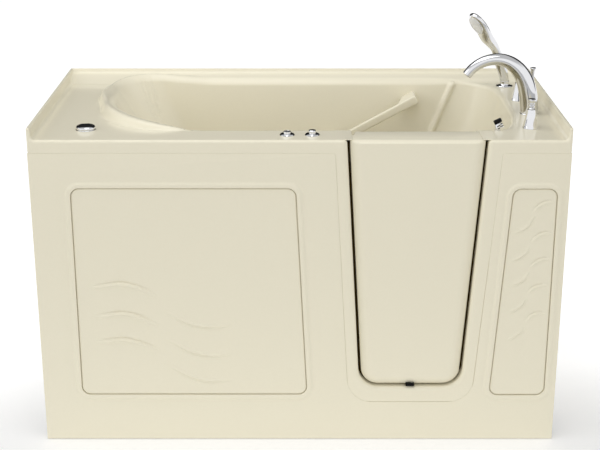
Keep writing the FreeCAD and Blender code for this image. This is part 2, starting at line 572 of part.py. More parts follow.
waste_route = [(DRAIN[0], DRAIN[1], 112), (DRAIN[0], DRAIN[1], 80), (692, DRAIN[1], 80)]
waste_solid = tube("waste_outer", waste_route, 25.5, 31)
waste_tail = cyl("waste_spigot", 24.15, 45, (690, DRAIN[1], 80), ROT(V(0, 0, 1), V(1, 0, 0)))
waste_bore = tube("waste_inner", waste_route[:2] + [(740, DRAIN[1], 80)], 20.5, 31)
node("waste_pipe", cut("waste_pipe", fuse("waste_body", [waste_solid, waste_tail]), waste_bore))
node("overflow_plate", turned("overflow_plate", [(17, -40), (21.5, -40), (21.5, 0), (38, 0), (38, 3), (35, 5), (8.3, 5), (8.3, 1), (17, 1)], (OVER_X, DRAIN[1], OVER_Z), OVER_ROT))
node("overflow_knob", turned("overflow_knob", [(0, -14), (8, -14), (8, 5.4), (32, 5.4), (33, 8), (30, 18), (26, 20), (0, 20)], (OVER_X, DRAIN[1], OVER_Z), OVER_ROT))
p0 = V(OVER_X, DRAIN[1], OVER_Z) - OVER_N * 40.0
p1 = p0 - OVER_N * 36
over_pipe = tube("overflow_run", [tuple(p0), tuple(p1), (p1.x, DRAIN[1], 90)], 20, 28)
node("overflow_pipe", cut("overflow_pipe", over_pipe, waste_solid))
node("stopper_cable", tube("stopper_cable", [(DRAIN[0], 44.5, 124), (DRAIN[0], 115, 118), (655, 115, 118), (655, 115, 690), (655, 37, 690)], 3, 45))

# ------------------------------------------------------------ steel frame
base = [box("base_rail_front", (-750.5, -368, 25), (750.5, -343, 50)), box("base_rail_back", (-750.5, 343, 25), (750.5, 368, 50))]
base += [box("cross%d" % i, (x - 12.5, -343, 25), (x + 12.5, 343, 50)) for i, x in enumerate((-738, -280, 60, 200, 480, 738))]
node("frame_base", group("frame_base", base))
posts = [(-738, -368), (60, -368), (592.5, -368), (738, -368), (-738, 343), (60, 343), (738, 343)]
upper_frame = [box("post%d" % i, (x - 12.5, y, 50), (x + 12.5, y + 25, 905)) for i, (x, y) in enumerate(posts)]
upper_frame += [
    box("top_front_left", (-750.5, -368, 905), (72.5, -343, 930)), box("top_front_right", (580, -368, 905), (750.5, -343, 930)), box("top_back", (-750.5, 343, 905), (750.5, 368, 930)),
    box("top_left", (-750.5, -343, 905), (-725.5, 343, 930)), box("top_right", (725.5, -343, 905), (750.5, 343, 930))]
node("frame_uprights", group("frame_uprights", upper_frame))
seat_tubes = [box("seat_rail%d" % i, (-292.5, y - 12.5, 519), (72.5, y + 12.5, 544)) for i, y in enumerate((-200, 200))]
seat_tubes += [box("seat_leg%d" % i, (x - 12.5, y - 12.5, 50), (x + 12.5, y + 12.5, 519)) for i, (x, y) in enumerate([(-280, -200), (-280, 200), (60, -200), (60, 200)])]
node("seat_supports", group("seat_supports", seat_tubes))
node("footwell_support_blocks", group("footwell_support_blocks", [box("well_block%d" % i, (x - 20, -260, 50), (x + 20, -30, 134)) for i, x in enumerate((200, 480))]))
FEET = [(x, y, 0) for x in (-700, 60, 700) for y in (-355.5, 355.5)]
foot = turned("foot_shape", [(0, 0), (18, 0), (18, 5), (14, 9), (5, 9), (5, 25), (0, 25)])
node("levelling_feet", copies("levelling_feet", foot, FEET))
foot_nut = slabs("foot_nut_shape", "XY_Plane", [([(9.5 * math.cos(math.radians(a)), 9.5 * math.sin(math.radians(a))) for a in range(15, 375, 60)], 17, 8, {})])
nut_bored = cut("foot_nut_bored", foot_nut, cyl("foot_nut_bore", 5.05, 30, (0, 0, 5)))
node("foot_lock_nuts", copies("foot_lock_nuts", nut_bored, FEET))

# ------------------------------------------------------------- air system
node("equipment_tray", box("equipment_tray", (-745, -180, 50), (-270, 150, 56)))
BX, BY = -560.0, -60.0
drum = turned("blower_drum", [(0, 68), (98, 68), (105, 76), (105, 150), (98, 158), (0, 158)], (BX, BY, 0))
port = cyl("blower_port", 25, 110, (-600, BY, 115), ROT(V(0, 0, 1), V(0, 1, 0)))
blower_feet = [cyl("blower_foot%d" % i, 12, 14, (BX + dx, BY + dy, 56)) for i, (dx, dy) in enumerate([(-62, -62), (62, -62), (62, 62), (-62, 62)])]
node("blower_housing", fuse("blower_housing", [drum, port] + blower_feet))
node("blower_motor", turned("blower_motor", [(0, 158), (66, 158), (66, 226), (58, 240), (18, 240), (18, 262), (0, 262)], (BX, BY, 0)))
lower = tube("air_hose_lower", [(-600, 50, 115), (-600, 110, 115), (-695, 110, 115), (-695, 110, 560)], 22, 36)
node("air_check_valve", turned("air_check_valve", [(0, 560), (25, 560), (25, 572), (32, 578), (32, 622), (25, 628), (25, 640), (0, 640)], (-695, 110, 0)))
manifold = tube("air_manifold", [(45, -160, 515), (-230, -160, 515), (-230, 160, 515), (45, 160, 515)], 13, 32)
node("air_manifold", manifold)
upper = tube("air_hose_run", [(-695, 110, 640), (-695, 110, 860), (-620, 110, 860), (-620, 110, 430), (-230, 110, 430), (-230, 110, 512)], 22, 36)
node("air_hose", group("air_hose", [lower, cut("air_hose_upper", upper, cyl("manifold_saddle", 13, 300, (-230, -20, 515), ROT(V(0, 0, 1), V(0, 1, 0))))]))
node("air_intake_hose", tube("air_intake_hose", [(*CAP, 890), (*CAP, 420), (BX, BY, 420), (BX, BY, 262)], 17, 60))
jet = turned("jet_shape", [(0, 528.2), (6, 528.2), (6, 550), (9, 550), (9, 551.2), (7, 552.6), (0, 552.6)])
node("air_jets", copies("air_jets", jet, [(x, y, 0) for x, y in JETS]))
node("control_box", box("control_box", (-420, -172, 56), (-310, -40, 236)))
node("control_box_lid", slabs("control_box_lid", "XZ_Plane", [([(-424, 58), (-306, 58), (-306, 240), (-424, 240)], 172, 5, {0: 8, 1: 8, 2: 8, 3: 8})]))
node("power_cable_gland", turned("power_cable_gland", [(0, 0), (13, 0), (13, 6), (10, 7), (10, 18), (7, 24), (0, 24)], (-365, -40, 90), ROT(V(0, 0, 1), V(0, 1, 0))))
air_line0 = tube("air_line0", [(-35, -324, 900), (-35, -324, 470), (-340, -324, 470), (-340, -100, 470), (-340, -100, 236)], 3, 50)
air_line1 = tube("air_line1", [(36, -324, 900), (36, -324, 450), (-375, -324, 450), (-375, -120, 450), (-375, -120, 236)], 3, 50)
node("button_air_lines", group("button_air_lines", [air_line0, air_line1]))

# ------------------------------------------------------- test, then write out
doc.recompute()
bad = [o.Name for o in doc.Objects if "Invalid" in o.State or "Error" in o.State]
assert not bad, bad
names = [n for n, _ in NODES]
assert len(set(names)) == len(names) and len(names) <= 60, len(names)
for name, obj in NODES:
    s = obj.Shape
    assert not s.isNull() and s.isValid() and s.Volume > 1 and s.Solids, name
os.makedirs("parts", exist_ok=True)
for name, obj in NODES:
    obj.Shape.exportStep("parts/%s.step" % name)
    b = obj.Shape.BoundBox
    print("%-26s %2d solids  %8.1f cm3  x %.1f..%.1f y %.1f..%.1f z %.1f..%.1f" % (
        name, len(obj.Shape.Solids), obj.Shape.Volume / 1000, b.XMin, b.XMax, b.YMin, b.YMax, b.ZMin, b.ZMax))
print(len(NODES), "nodes")
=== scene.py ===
import math

import bpy
import numpy as np
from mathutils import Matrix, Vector
from mathutils.geometry import tessellate_polygon


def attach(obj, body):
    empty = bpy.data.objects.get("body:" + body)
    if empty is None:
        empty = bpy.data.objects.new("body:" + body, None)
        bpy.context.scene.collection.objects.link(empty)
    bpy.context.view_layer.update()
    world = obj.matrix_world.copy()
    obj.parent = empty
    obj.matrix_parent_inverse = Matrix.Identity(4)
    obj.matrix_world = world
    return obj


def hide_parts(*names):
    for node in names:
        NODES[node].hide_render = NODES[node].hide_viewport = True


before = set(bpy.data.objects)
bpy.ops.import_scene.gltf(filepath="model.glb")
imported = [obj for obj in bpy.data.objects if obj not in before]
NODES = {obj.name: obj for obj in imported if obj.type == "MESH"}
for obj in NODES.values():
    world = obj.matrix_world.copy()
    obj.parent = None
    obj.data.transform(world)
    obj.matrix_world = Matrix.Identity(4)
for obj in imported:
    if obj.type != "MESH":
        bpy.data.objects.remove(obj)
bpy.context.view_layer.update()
scene = bpy.context.scene

# Lengths below are in millimetres in the CAD frame; make() turns them into metres.


# ------------------------------------------------------------------ materials
def new_material(name):
    m = bpy.data.materials.new(name)
    m.use_nodes = True
    nt = m.node_tree
    nt.nodes.clear()
    out = nt.nodes.new("ShaderNodeOutputMaterial")
    bsdf = nt.nodes.new("ShaderNodeBsdfPrincipled")
    nt.links.new(bsdf.outputs[0], out.inputs[0])
    return m, nt, bsdf


def finish_material(name, dark, light, scale=6.0, rough=(0.3, 0.4), metallic=0.0, coat=0.0, coat_rough=0.1,
                    bump=0.0, bump_scale=300.0, bump_depth=0.0005, stretch=(1, 1, 1), detail=3.0, ior=1.5,
                    specular=0.5, speck=None):
    """A solid finish: mottled colour, uneven gloss and a fine surface texture, all from the object's own coordinates."""
    m, nt, b = new_material(name)
    co = nt.nodes.new("ShaderNodeTexCoord")
    mp = nt.nodes.new("ShaderNodeMapping")
    mp.inputs["Scale"].default_value = stretch
    nt.links.new(co.outputs["Object"], mp.inputs["Vector"])
    n1 = nt.nodes.new("ShaderNodeTexNoise")
    n1.inputs["Scale"].default_value = scale
    n1.inputs["Detail"].default_value = detail
    nt.links.new(mp.outputs[0], n1.inputs["Vector"])
    ramp = nt.nodes.new("ShaderNodeValToRGB")
    ramp.color_ramp.elements[0].position = 0.3
    ramp.color_ramp.elements[0].color = (*dark, 1)
    ramp.color_ramp.elements[1].position = 0.7
    ramp.color_ramp.elements[1].color = (*light, 1)
    nt.links.new(n1.outputs["Fac"], ramp.inputs["Fac"])
    colour = ramp.outputs["Color"]
    if speck:
        v = nt.nodes.new("ShaderNodeTexVoronoi")
        v.inputs["Scale"].default_value = speck[0]
        nt.links.new(mp.outputs[0], v.inputs["Vector"])
        sr = nt.nodes.new("ShaderNodeValToRGB")
        sr.color_ramp.elements[0].position = speck[1]
        sr.color_ramp.elements[0].color = (*speck[2], 1)
        sr.color_ramp.elements[1].position = speck[1] + 0.12
        sr.color_ramp.elements[1].color = (1, 1, 1, 1)
        nt.links.new(v.outputs["Distance"], sr.inputs["Fac"])
        mx = nt.nodes.new("ShaderNodeMix")
        mx.data_type = "RGBA"
        mx.blend_type = "MULTIPLY"
        mx.inputs["Factor"].default_value = 1.0
        nt.links.new(colour, mx.inputs["A"])
        nt.links.new(sr.outputs["Color"], mx.inputs["B"])
        colour = mx.outputs["Result"]
    nt.links.new(colour, b.inputs["Base Color"])
    n2 = nt.nodes.new("ShaderNodeTexNoise")
    n2.inputs["Scale"].default_value = scale * 3.7
    n2.inputs["Detail"].default_value = 2.0
    nt.links.new(mp.outputs[0], n2.inputs["Vector"])
    mr = nt.nodes.new("ShaderNodeMapRange")
    mr.inputs["From Min"].default_value = 0.25
    mr.inputs["From Max"].default_value = 0.75
    mr.inputs["To Min"].default_value = rough[0]
    mr.inputs["To Max"].default_value = rough[1]
    nt.links.new(n2.outputs["Fac"], mr.inputs["Value"])
    nt.links.new(mr.outputs[0], b.inputs["Roughness"])
    b.inputs["Metallic"].default_value = metallic
    b.inputs["IOR"].default_value = ior
    b.inputs["Specular IOR Level"].default_value = specular
    b.inputs["Coat Weight"].default_value = coat
    b.inputs["Coat Roughness"].default_value = coat_rough
    if bump:
        n3 = nt.nodes.new("ShaderNodeTexNoise")
        n3.inputs["Scale"].default_value = bump_scale
        n3.inputs["Detail"].default_value = 2.0
        nt.links.new(mp.outputs[0], n3.inputs["Vector"])
        bp = nt.nodes.new("ShaderNodeBump")
        bp.inputs["Strength"].default_value = bump
        bp.inputs["Distance"].default_value = bump_depth
        nt.links.new(n3.outputs["Fac"], bp.inputs["Height"])
        nt.links.new(bp.outputs[0], b.inputs["Normal"])
    return m


GEL = finish_material("gelcoat_cream", (0.830, 0.782, 0.623), (0.838, 0.790, 0.631), scale=140.0, rough=(0.18, 0.20),
                      specular=0.28, bump=0.05, bump_scale=90.0, bump_depth=0.0006)
CHROME = finish_material("chrome_plate", (0.73, 0.735, 0.755), (0.80, 0.805, 0.82), scale=9.0, rough=(0.035, 0.075), metallic=1.0)
# Rubber for the door seal. Its dark brown tone is partly painted shade, standing in for the shade inside the door gap.
SEAL_RUBBER_WITH_GAP_SHADE = finish_material("dark_brown_seal_rubber_and_gap_shade", (0.070, 0.042, 0.006), (0.100, 0.060, 0.010), scale=40.0, rough=(0.62, 0.8), specular=0.15, bump=0.3, bump_scale=900.0, bump_depth=0.0002)
BLACK = finish_material("black_moulded_plastic", (0.004, 0.004, 0.0045), (0.010, 0.010, 0.0105), scale=30.0, rough=(0.55, 0.68), specular=0.12, bump=0.25, bump_scale=1200.0, bump_depth=0.0002)
STEEL = finish_material("brushed_stainless", (0.50, 0.50, 0.50), (0.66, 0.66, 0.65), scale=26.0, rough=(0.22, 0.36), metallic=1.0, stretch=(1, 1, 14), bump=0.15, bump_scale=240.0, bump_depth=0.0002)
GALV = finish_material("galvanised_tube", (0.40, 0.41, 0.42), (0.62, 0.63, 0.64), scale=22.0, rough=(0.34, 0.55), metallic=0.9, detail=6.0, bump=0.2, bump_scale=120.0, bump_depth=0.0003, speck=(38.0, 0.16, (0.82, 0.83, 0.85)))
PVC = finish_material("white_pvc", (0.70, 0.70, 0.68), (0.80, 0.80, 0.78), scale=12.0, rough=(0.35, 0.48), bump=0.1, bump_scale=300.0, bump_depth=0.0003)
HOSE = finish_material("grey_flexible_hose", (0.15, 0.15, 0.155), (0.25, 0.25, 0.255), scale=18.0, rough=(0.5, 0.65), bump=0.5, bump_scale=60.0, bump_depth=0.0012, stretch=(1, 1, 5))
LINE = finish_material("clear_air_line", (0.60, 0.63, 0.64), (0.76, 0.78, 0.78), scale=24.0, rough=(0.15, 0.25), coat=0.2)
GREY = finish_material("grey_moulded_plastic", (0.22, 0.225, 0.23), (0.31, 0.315, 0.32), scale=20.0, rough=(0.45, 0.6), bump=0.3, bump_scale=700.0, bump_depth=0.0003)
WOOD = finish_material("plywood", (0.42, 0.27, 0.14), (0.62, 0.43, 0.25), scale=7.0, rough=(0.6, 0.75), stretch=(1, 9, 9), detail=7.0, bump=0.35, bump_scale=60.0, bump_depth=0.0006)
BRASS = finish_material("brass", (0.52, 0.36, 0.13), (0.68, 0.49, 0.21), scale=22.0, rough=(0.25, 0.42), metallic=1.0, bump=0.15, bump_scale=200.0, bump_depth=0.0003)
WHITE_RUBBER = finish_material("white_spray_face", (0.86, 0.86, 0.85), (0.93, 0.93, 0.92), scale=30.0, rough=(0.35, 0.5), bump=0.15, bump_scale=400.0, bump_depth=0.0003)


# ---------------------------------------------------------------- mesh helpers
def make(name, verts, faces, mat, body, replaces=(), normals=None, sharp=None):
    """A mesh object from millimetre points. Smooth shaded; edges over the angle `sharp` stay crisp."""
    me = bpy.data.meshes.new(name)
    v = np.asarray(verts, float) / 1000.0
    me.from_pydata(v.tolist(), [], [list(map(int, f)) for f in faces])
    me.polygons.foreach_set("use_smooth", np.ones(len(me.polygons), bool))
    if normals is not None:
        me.normals_split_custom_set_from_vertices(np.asarray(normals, float).tolist())
    elif sharp:
        me.set_sharp_from_angle(angle=math.radians(sharp))
    me.update()
    me.materials.append(mat)
    ob = bpy.data.objects.new(name, me)
    scene.collection.objects.link(ob)
    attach(ob, body)
    if replaces:
        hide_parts(*replaces)
    return ob


class Build:
    """Collects patches into one mesh."""

    def __init__(self):
        self.v, self.f = [], []

    def add(self, verts, faces):
        o = len(self.v)
        self.v.extend([tuple(map(float, p)) for p in verts])
        self.f.extend([[o + i for i in f] for f in faces])
        return o

    def rings(self, rings, closed=True, cap0=None, cap1=None, flip=False):
        """Quads between rings with the same number of points."""
        n = len(rings[0])
        verts = [p for r in rings for p in r]
        faces = []
        for a in range(len(rings) - 1):
            for i in range(n if closed else n - 1):
                j = (i + 1) % n
                q = [a * n + i, a * n + j, (a + 1) * n + j, (a + 1) * n + i]
                faces.append(q[::-1] if flip else q)
        for cap, r, rev in ((cap0, 0, True), (cap1, len(rings) - 1, False)):
            if cap == "fan":
                c = np.mean(np.array(rings[r], float), axis=0)
                verts.append(tuple(c))
                k = len(verts) - 1
                for i in range(n):
                    t = [r * n + i, r * n + (i + 1) % n, k]
                    faces.append(t[::-1] if rev != flip else t)
        self.add(verts, faces)

    def done(self, name, mat, body, replaces=(), sharp=None, normals=None):
        return make(name, self.v, self.f, mat, body, replaces, normals, sharp)


def fillet(pts, radius, n=5):
    """Rounds the inner corners of an open outline. radius is one number, or one for each corner."""
    out = [np.array(pts[0], float)]
    for i in range(1, len(pts) - 1):
        p, a, b = (np.array(q, float) for q in (pts[i], pts[i - 1], pts[i + 1]))
        u, w = a - p, b - p
        lu, lw = np.linalg.norm(u), np.linalg.norm(w)
        r = radius[i] if isinstance(radius, (list, tuple)) else radius
        if r <= 0 or lu < 1e-6 or lw < 1e-6:
            out.append(p)
            continue
        u, w = u / lu, w / lw
        ang = math.acos(max(-1, min(1, float(u @ w))))
        if ang > math.pi - 0.03:
            out.append(p)
            continue
        t = min(r / math.tan(ang / 2), 0.48 * lu, 0.48 * lw)
        rr = t * math.tan(ang / 2)
        mid = (u + w) / np.linalg.norm(u + w)
        c = p + mid * (rr / math.sin(ang / 2))
        s0, s1 = p + u * t - c, p + w * t - c
        tot = math.acos(max(-1, min(1, float(s0 @ s1) / (rr * rr))))
        for k in range(n + 1):
            x = k / n
            out.append(c + (math.sin((1 - x) * tot) * s0 + math.sin(x * tot) * s1) / math.sin(tot))
    out.append(np.array(pts[-1], float))
    return out


def frame_of(axis):
    a = Vector(axis).normalized()
    ref = Vector((0, 1, 0)) if abs(a.y) < 0.9 else Vector((1, 0, 0))
    u = ref.cross(a).normalized()
    return np.array(u), np.array(a.cross(u)), np.array(a)


def lathe(b, profile, centre, axis=(0, 0, 1), n=56, rounding=0.0, waves=None):
    """Revolves (radius, height) about an axis. Points on the axis are closed with a fan."""
    prof = fillet(profile, rounding) if rounding else [np.array(p, float) for p in profile]
    u, w, a = frame_of(axis)
    c = np.array(centre, float)
    rings = []
    for r, h in prof:
        ring = []
        for i in range(n):
            t = 2 * math.pi * i / n
            rr = r * (1 + (waves(t, h) if waves else 0))
            ring.append(c + a * h + (u * math.cos(t) + w * math.sin(t)) * max(rr, 1e-4))
        rings.append(ring)
    b.rings(rings, flip=False)


def sweep(b, centres, radii, n=28, cap=True, squeeze=None):
    """A round section carried along a smooth line without twisting. squeeze gives (across, up) factors."""
    c = np.array(centres, float)
    t = np.gradient(c, axis=0)
    t /= np.linalg.norm(t, axis=1)[:, None]
    ref = np.array([0, 1.0, 0]) if abs(t[0][1]) < 0.9 else np.array([1.0, 0, 0])
    u = np.cross(ref, t[0]); u /= np.linalg.norm(u)
    rings = []
    for i in range(len(c)):
        u = u - t[i] * (u @ t[i]); u /= np.linalg.norm(u)
        w = np.cross(t[i], u)
        su, sw = squeeze(i / (len(c) - 1)) if squeeze else (1, 1)
        rings.append([c[i] + radii[i] * (su * u * math.cos(a) + sw * w * math.sin(a)) for a in np.linspace(0, 2 * math.pi, n, endpoint=False)])
    b.rings(rings, cap0="fan" if cap else None, cap1="fan" if cap else None)


def spline(pts, n):
    """A smooth line through points (any dimension), evenly spaced along it."""
    p = np.array(pts, float)
    d = np.r_[0, np.cumsum(np.linalg.norm(np.diff(p[:, :3], axis=0), axis=1) ** 0.5 + 1e-9)]
    out = []
    for s in np.linspace(0, d[-1], n * 4):
        i = min(max(np.searchsorted(d, s) - 1, 0), len(p) - 2)
        h = d[i + 1] - d[i]
        x = (s - d[i]) / h

        def slope(j):
            if j == 0:
                return (p[1] - p[0]) / (d[1] - d[0])
            if j == len(p) - 1:
                return (p[-1] - p[-2]) / (d[-1] - d[-2])
            h0, h1 = d[j] - d[j - 1], d[j + 1] - d[j]
            return ((p[j] - p[j - 1]) / h0 * h1 + (p[j + 1] - p[j]) / h1 * h0) / (h0 + h1)
        m0, m1 = slope(i) * h, slope(i + 1) * h
        out.append((2 * x**3 - 3 * x**2 + 1) * p[i] + (x**3 - 2 * x**2 + x) * m0 + (-2 * x**3 + 3 * x**2) * p[i + 1] + (x**3 - x**2) * m1)
    out = np.array(out)
    s = np.r_[0, np.cumsum(np.linalg.norm(np.diff(out[:, :3], axis=0), axis=1))]
    k = np.linspace(0, s[-1], n)
    return np.stack([np.interp(k, s, out[:, j]) for j in range(out.shape[1])], axis=1)


def contour(pts, radii, arc=10, step=60.0):
    """A closed outline with rounded corners, and for each point the direction in which it is offset outward.
    Corners are in anticlockwise order; a corner with radius 0 stays sharp."""
    n = len(pts)
    P = [np.array(p, float) for p in pts]
    pos, nor = [], []

    def edge_normal(i):
        e = P[(i + 1) % n] - P[i]
        e /= np.linalg.norm(e)
        return np.array([e[1], -e[0]])
    ends = []
    for i in range(n):
        n0, n1 = edge_normal((i - 1) % n), edge_normal(i)
        r = radii[i]
        mit = (n0 + n1) / (1 + float(n0 @ n1))
        turn = float(n0[0] * n1[1] - n0[1] * n1[0])
        if r <= 0:
            ends.append(([P[i]], [mit]))
        elif turn > 0:
            c = P[i] - mit * r
            a0, a1 = math.atan2(n0[1], n0[0]), math.atan2(n1[1], n1[0])
            if a1 < a0:
                a1 += 2 * math.pi
            dirs = [np.array([math.cos(a), math.sin(a)]) for a in np.linspace(a0, a1, arc + 1)]
            ends.append(([c + d * r for d in dirs], dirs))
        else:
            c = P[i] + mit * r
            a0, a1 = math.atan2(-n0[1], -n0[0]), math.atan2(-n1[1], -n1[0])
            if a1 > a0:
                a1 -= 2 * math.pi
            dirs = [np.array([math.cos(a), math.sin(a)]) for a in np.linspace(a0, a1, arc + 1)]
            ends.append(([c + d * r for d in dirs], [-d for d in dirs]))
    for i in range(n):
        q, d = ends[i]
        pos += q
        nor += d
        a, b = q[-1], ends[(i + 1) % n][0][0]
        m = int(np.linalg.norm(b - a) // step)
        nn = edge_normal(i)
        for k in range(1, m):
            pos.append(a + (b - a) * k / m)
            nor.append(nn)
    return np.array(pos), np.array(nor)


def front_ring(pos, nor, d, y):
    """Points of an outline in the x-z plane, offset outward by d, at depth y."""
    q = pos + nor * d
    return [(p[0], y, p[1]) for p in q]


def fill_plane(b, loops, y, facing=-1):
    """Flat face at depth y between an outer loop and holes, facing the front (-1) or the back (+1)."""
    flat = [[Vector((p[0], p[1], 0)) for p in loop] for loop in loops]
    pts = [p for loop in loops for p in loop]
    tris = tessellate_polygon(flat)
    out = []
    for t in tris:
        a, c, d = (pts[i] for i in t)
        area = (c[0] - a[0]) * (d[1] - a[1]) - (c[1] - a[1]) * (d[0] - a[0])
        if abs(area) < 1e-9:
            continue
        # anticlockwise in x-z faces -y
        out.append(t if (area > 0) == (facing < 0) else t[::-1])
    b.add([(p[0], y, p[1]) for p in pts], out)


def weld(b, tol=0.02):
    """Joins points that lie on one another, so that shading runs on between patches."""
    key, index, verts = {}, [], []
    for p in b.v:
        k = tuple(int(round(c / tol)) for c in p)
        if k not in key:
            key[k] = len(verts)
            verts.append(p)
        index.append(key[k])
    faces = []
    for f in b.f:
        g = []
        for i in f:
            j = index[i]
            if not g or g[-1] != j:
                g.append(j)
        if len(g) > 1 and g[0] == g[-1]:
            g.pop()
        if len(g) >= 3 and len(set(g)) == len(g):
            faces.append(g)
    b.v, b.f = verts, faces
    return b


# ------------------------------------------------------------- the moulded shell
def i_round(a, b, r):
    u, v = np.maximum(a + r, 0), np.maximum(b + r, 0)
    return np.minimum(np.maximum(a, b), -r) + np.sqrt(u * u + v * v)


def u_round(a, b, r):
    u, v = np.maximum(r - a, 0), np.maximum(r - b, 0)
    return np.maximum(np.minimum(a, b), r) - np.sqrt(u * u + v * v)


def soft_min(a, b, k):
    h = np.maximum(k - np.abs(a - b), 0) / k
    return np.minimum(a, b) - h * h * k / 4


def soft_max(a, b, k):
    return -soft_min(-a, -b, k)


def ramp01(x, a, b):
    t = np.clip((x - a) / (b - a), 0, 1)
    return t * t * (3 - 2 * t)


def lerp(a, b, k):
    return a + (b - a) * k


def rrect(x, y, x0, x1, y0, y1, fl, bl, br, fr):
    """Distance to a rectangle whose corners have their own radii."""
    d = np.maximum(np.maximum(x0 - x, x - x1), np.maximum(y0 - y, y - y1))
    for sx, sy, r in ((-1, -1, fl), (-1, 1, bl), (1, 1, br), (1, -1, fr)):
        cx = (x0 + r) if sx < 0 else (x1 - r)
        cy = (y0 + r) if sy < 0 else (y1 - r)
        m = ((x - cx) * sx > 0) & ((y - cy) * sy > 0)
        d = np.where(m, np.hypot(x - cx, y - cy) - r, d)
    return d


def sd_convex(px, pz, V):
    d = np.full(np.shape(px), 1e18)
    inside = np.full(np.shape(px), -1e18)
    n = len(V)
    for i in range(n):
        ax, az = V[i]
        bx, bz = V[(i + 1) % n]
        ex, ez = bx - ax, bz - az
        L2 = ex * ex + ez * ez
        wx, wz = px - ax, pz - az
        t = np.clip((wx * ex + wz * ez) / L2, 0, 1)
        d = np.minimum(d, (wx - ex * t) ** 2 + (wz - ez * t) ** 2)
        inside = np.maximum(inside, (wx * ez - wz * ex) / math.sqrt(L2))
    return np.where(inside < 0, inside, np.sqrt(d))


def inset(V, r):
    """A convex outline moved in by r."""
    n, out = len(V), []
    for i in range(n):
        a, b, c = (np.array(V[j % n], float) for j in (i - 1, i, i + 1))
        e0, e1 = (b - a) / np.linalg.norm(b - a), (c - b) / np.linalg.norm(c - b)
        n0, n1 = np.array([e0[1], -e0[0]]), np.array([e1[1], -e1[0]])
        out.append(tuple(b - (n0 + n1) / (1 + float(n0 @ n1)) * r))
    return out


DECK = 938.0
OPENING = inset([(177.7, 175.0), (479.8, 175.0), (539.6, 1100.0), (123.4, 1100.0)], 60.0)
SURROUND = inset([(145.0, 126.0), (513.0, 126.0), (585.0, 1100.0), (87.4, 1100.0)], 75.0)
CREST_X = [-700, -640, -600, -560, -520, -480, -440, -400, -360, -325, -290, -250, 700]
CREST_Z = [966, 967.5, 968, 966.5, 963.5, 959.5, 955.5, 951, 945.5, 940, 934, 926, 820]


def end_wall(y, z):
    """Where the curved end wall stands, as x, with its slope along y."""
    k = np.clip((DECK - z) / 388.0, 0, 1)
    xr, yc, yb, yf, xc = lerp(637, 560, k), 7 * (1 - k), lerp(322.0, 266, k), lerp(-291.4, -262, k), lerp(540, 390, k)
    p = lerp(6.0, 4.0, k)
    ub, uf = np.maximum(y - yc, 0) / (yb - yc), np.maximum(yc - y, 0) / (yc - yf)
    xe = xr - (xr - xc) * ub**p - 66 * uf**2.87
    sl = -(xr - xc) * p * ub ** (p - 1) / (yb - yc) + 66 * 2.87 * uf**1.87 / (yc - yf)
    return xe, sl


def basin(x, y, z):
    k = np.clip((972 - z) / 422.0, -0.05, 1)
    x0, y0 = lerp(-596, -330, k), lerp(-275, -262, k)
    a = rrect(x, y, x0, 3000.0, y0, lerp(319.0, 262, k), 1.0, lerp(130, 100, k), 5.0, 5.0)
    # the front corner of the backrest is a quarter of an oval
    ea, eb = lerp(328, 160, k), lerp(420, 160, k)
    u, v = (x - x0 - ea) / ea, (y - y0 - eb) / eb
    q = np.hypot(u, v)
    oval = (q - 1) * q / np.maximum(np.hypot(u / ea, v / eb), 1e-6)
    a = np.where((u < 0) & (v < 0), oval, a)
    a = a / np.sqrt(1 + 0.36 * ramp01(-x, 250, 480))
    a = a + flutes(x, y, z, k)
    xe, sl = end_wall(y, z)
    b = (x - xe) / np.sqrt(1 + sl * sl)
    d = i_round(a, b, 26.0)
    # a moulded rib that runs down the back wall beside the end wall
    off = np.hypot((x - 502 + 0.415 * (DECK - z)) * 0.92, y - lerp(318.0, 261, k))
    d = np.where((z > 560) & (z < 950), soft_max(d, 8.6 - off, 9.0), d)
    return i_round(d, 550 - z, 34.0)


def flutes(x, y, z, k):
    """Three shallow upright grooves in the backrest's far corner."""
    ang = np.arctan2(y - 176, -(x + 452 - 60 * k))
    out = 0.0
    for c in (1.05, 1.17, 1.31):
        out = out - 1.8 * np.exp(-(((ang - c) / 0.030) ** 2))
    return out * (1 - ramp01(z, 935, 962)) * ramp01(z, 790, 850) * (x < -380) * (ang > 0.2)


def well(x, y, z):
    k = np.clip((600 - z) / 460.0, 0, 1)
    d = rrect(x, y, 104.0, lerp(556, 545, k), -334.0, lerp(268, 240, k), 3.0, 60.0, lerp(200, 110, k), 3.0)
    d = i_round(d, 140 - z, 26.0)
    return np.maximum(d, z - 604)


def front_land(x, z):
    """Distance in the front plane to the shell's own lip and door surround."""
    return u_round(900 - z, sd_convex(x, z, SURROUND) - 75.0, 7.0)


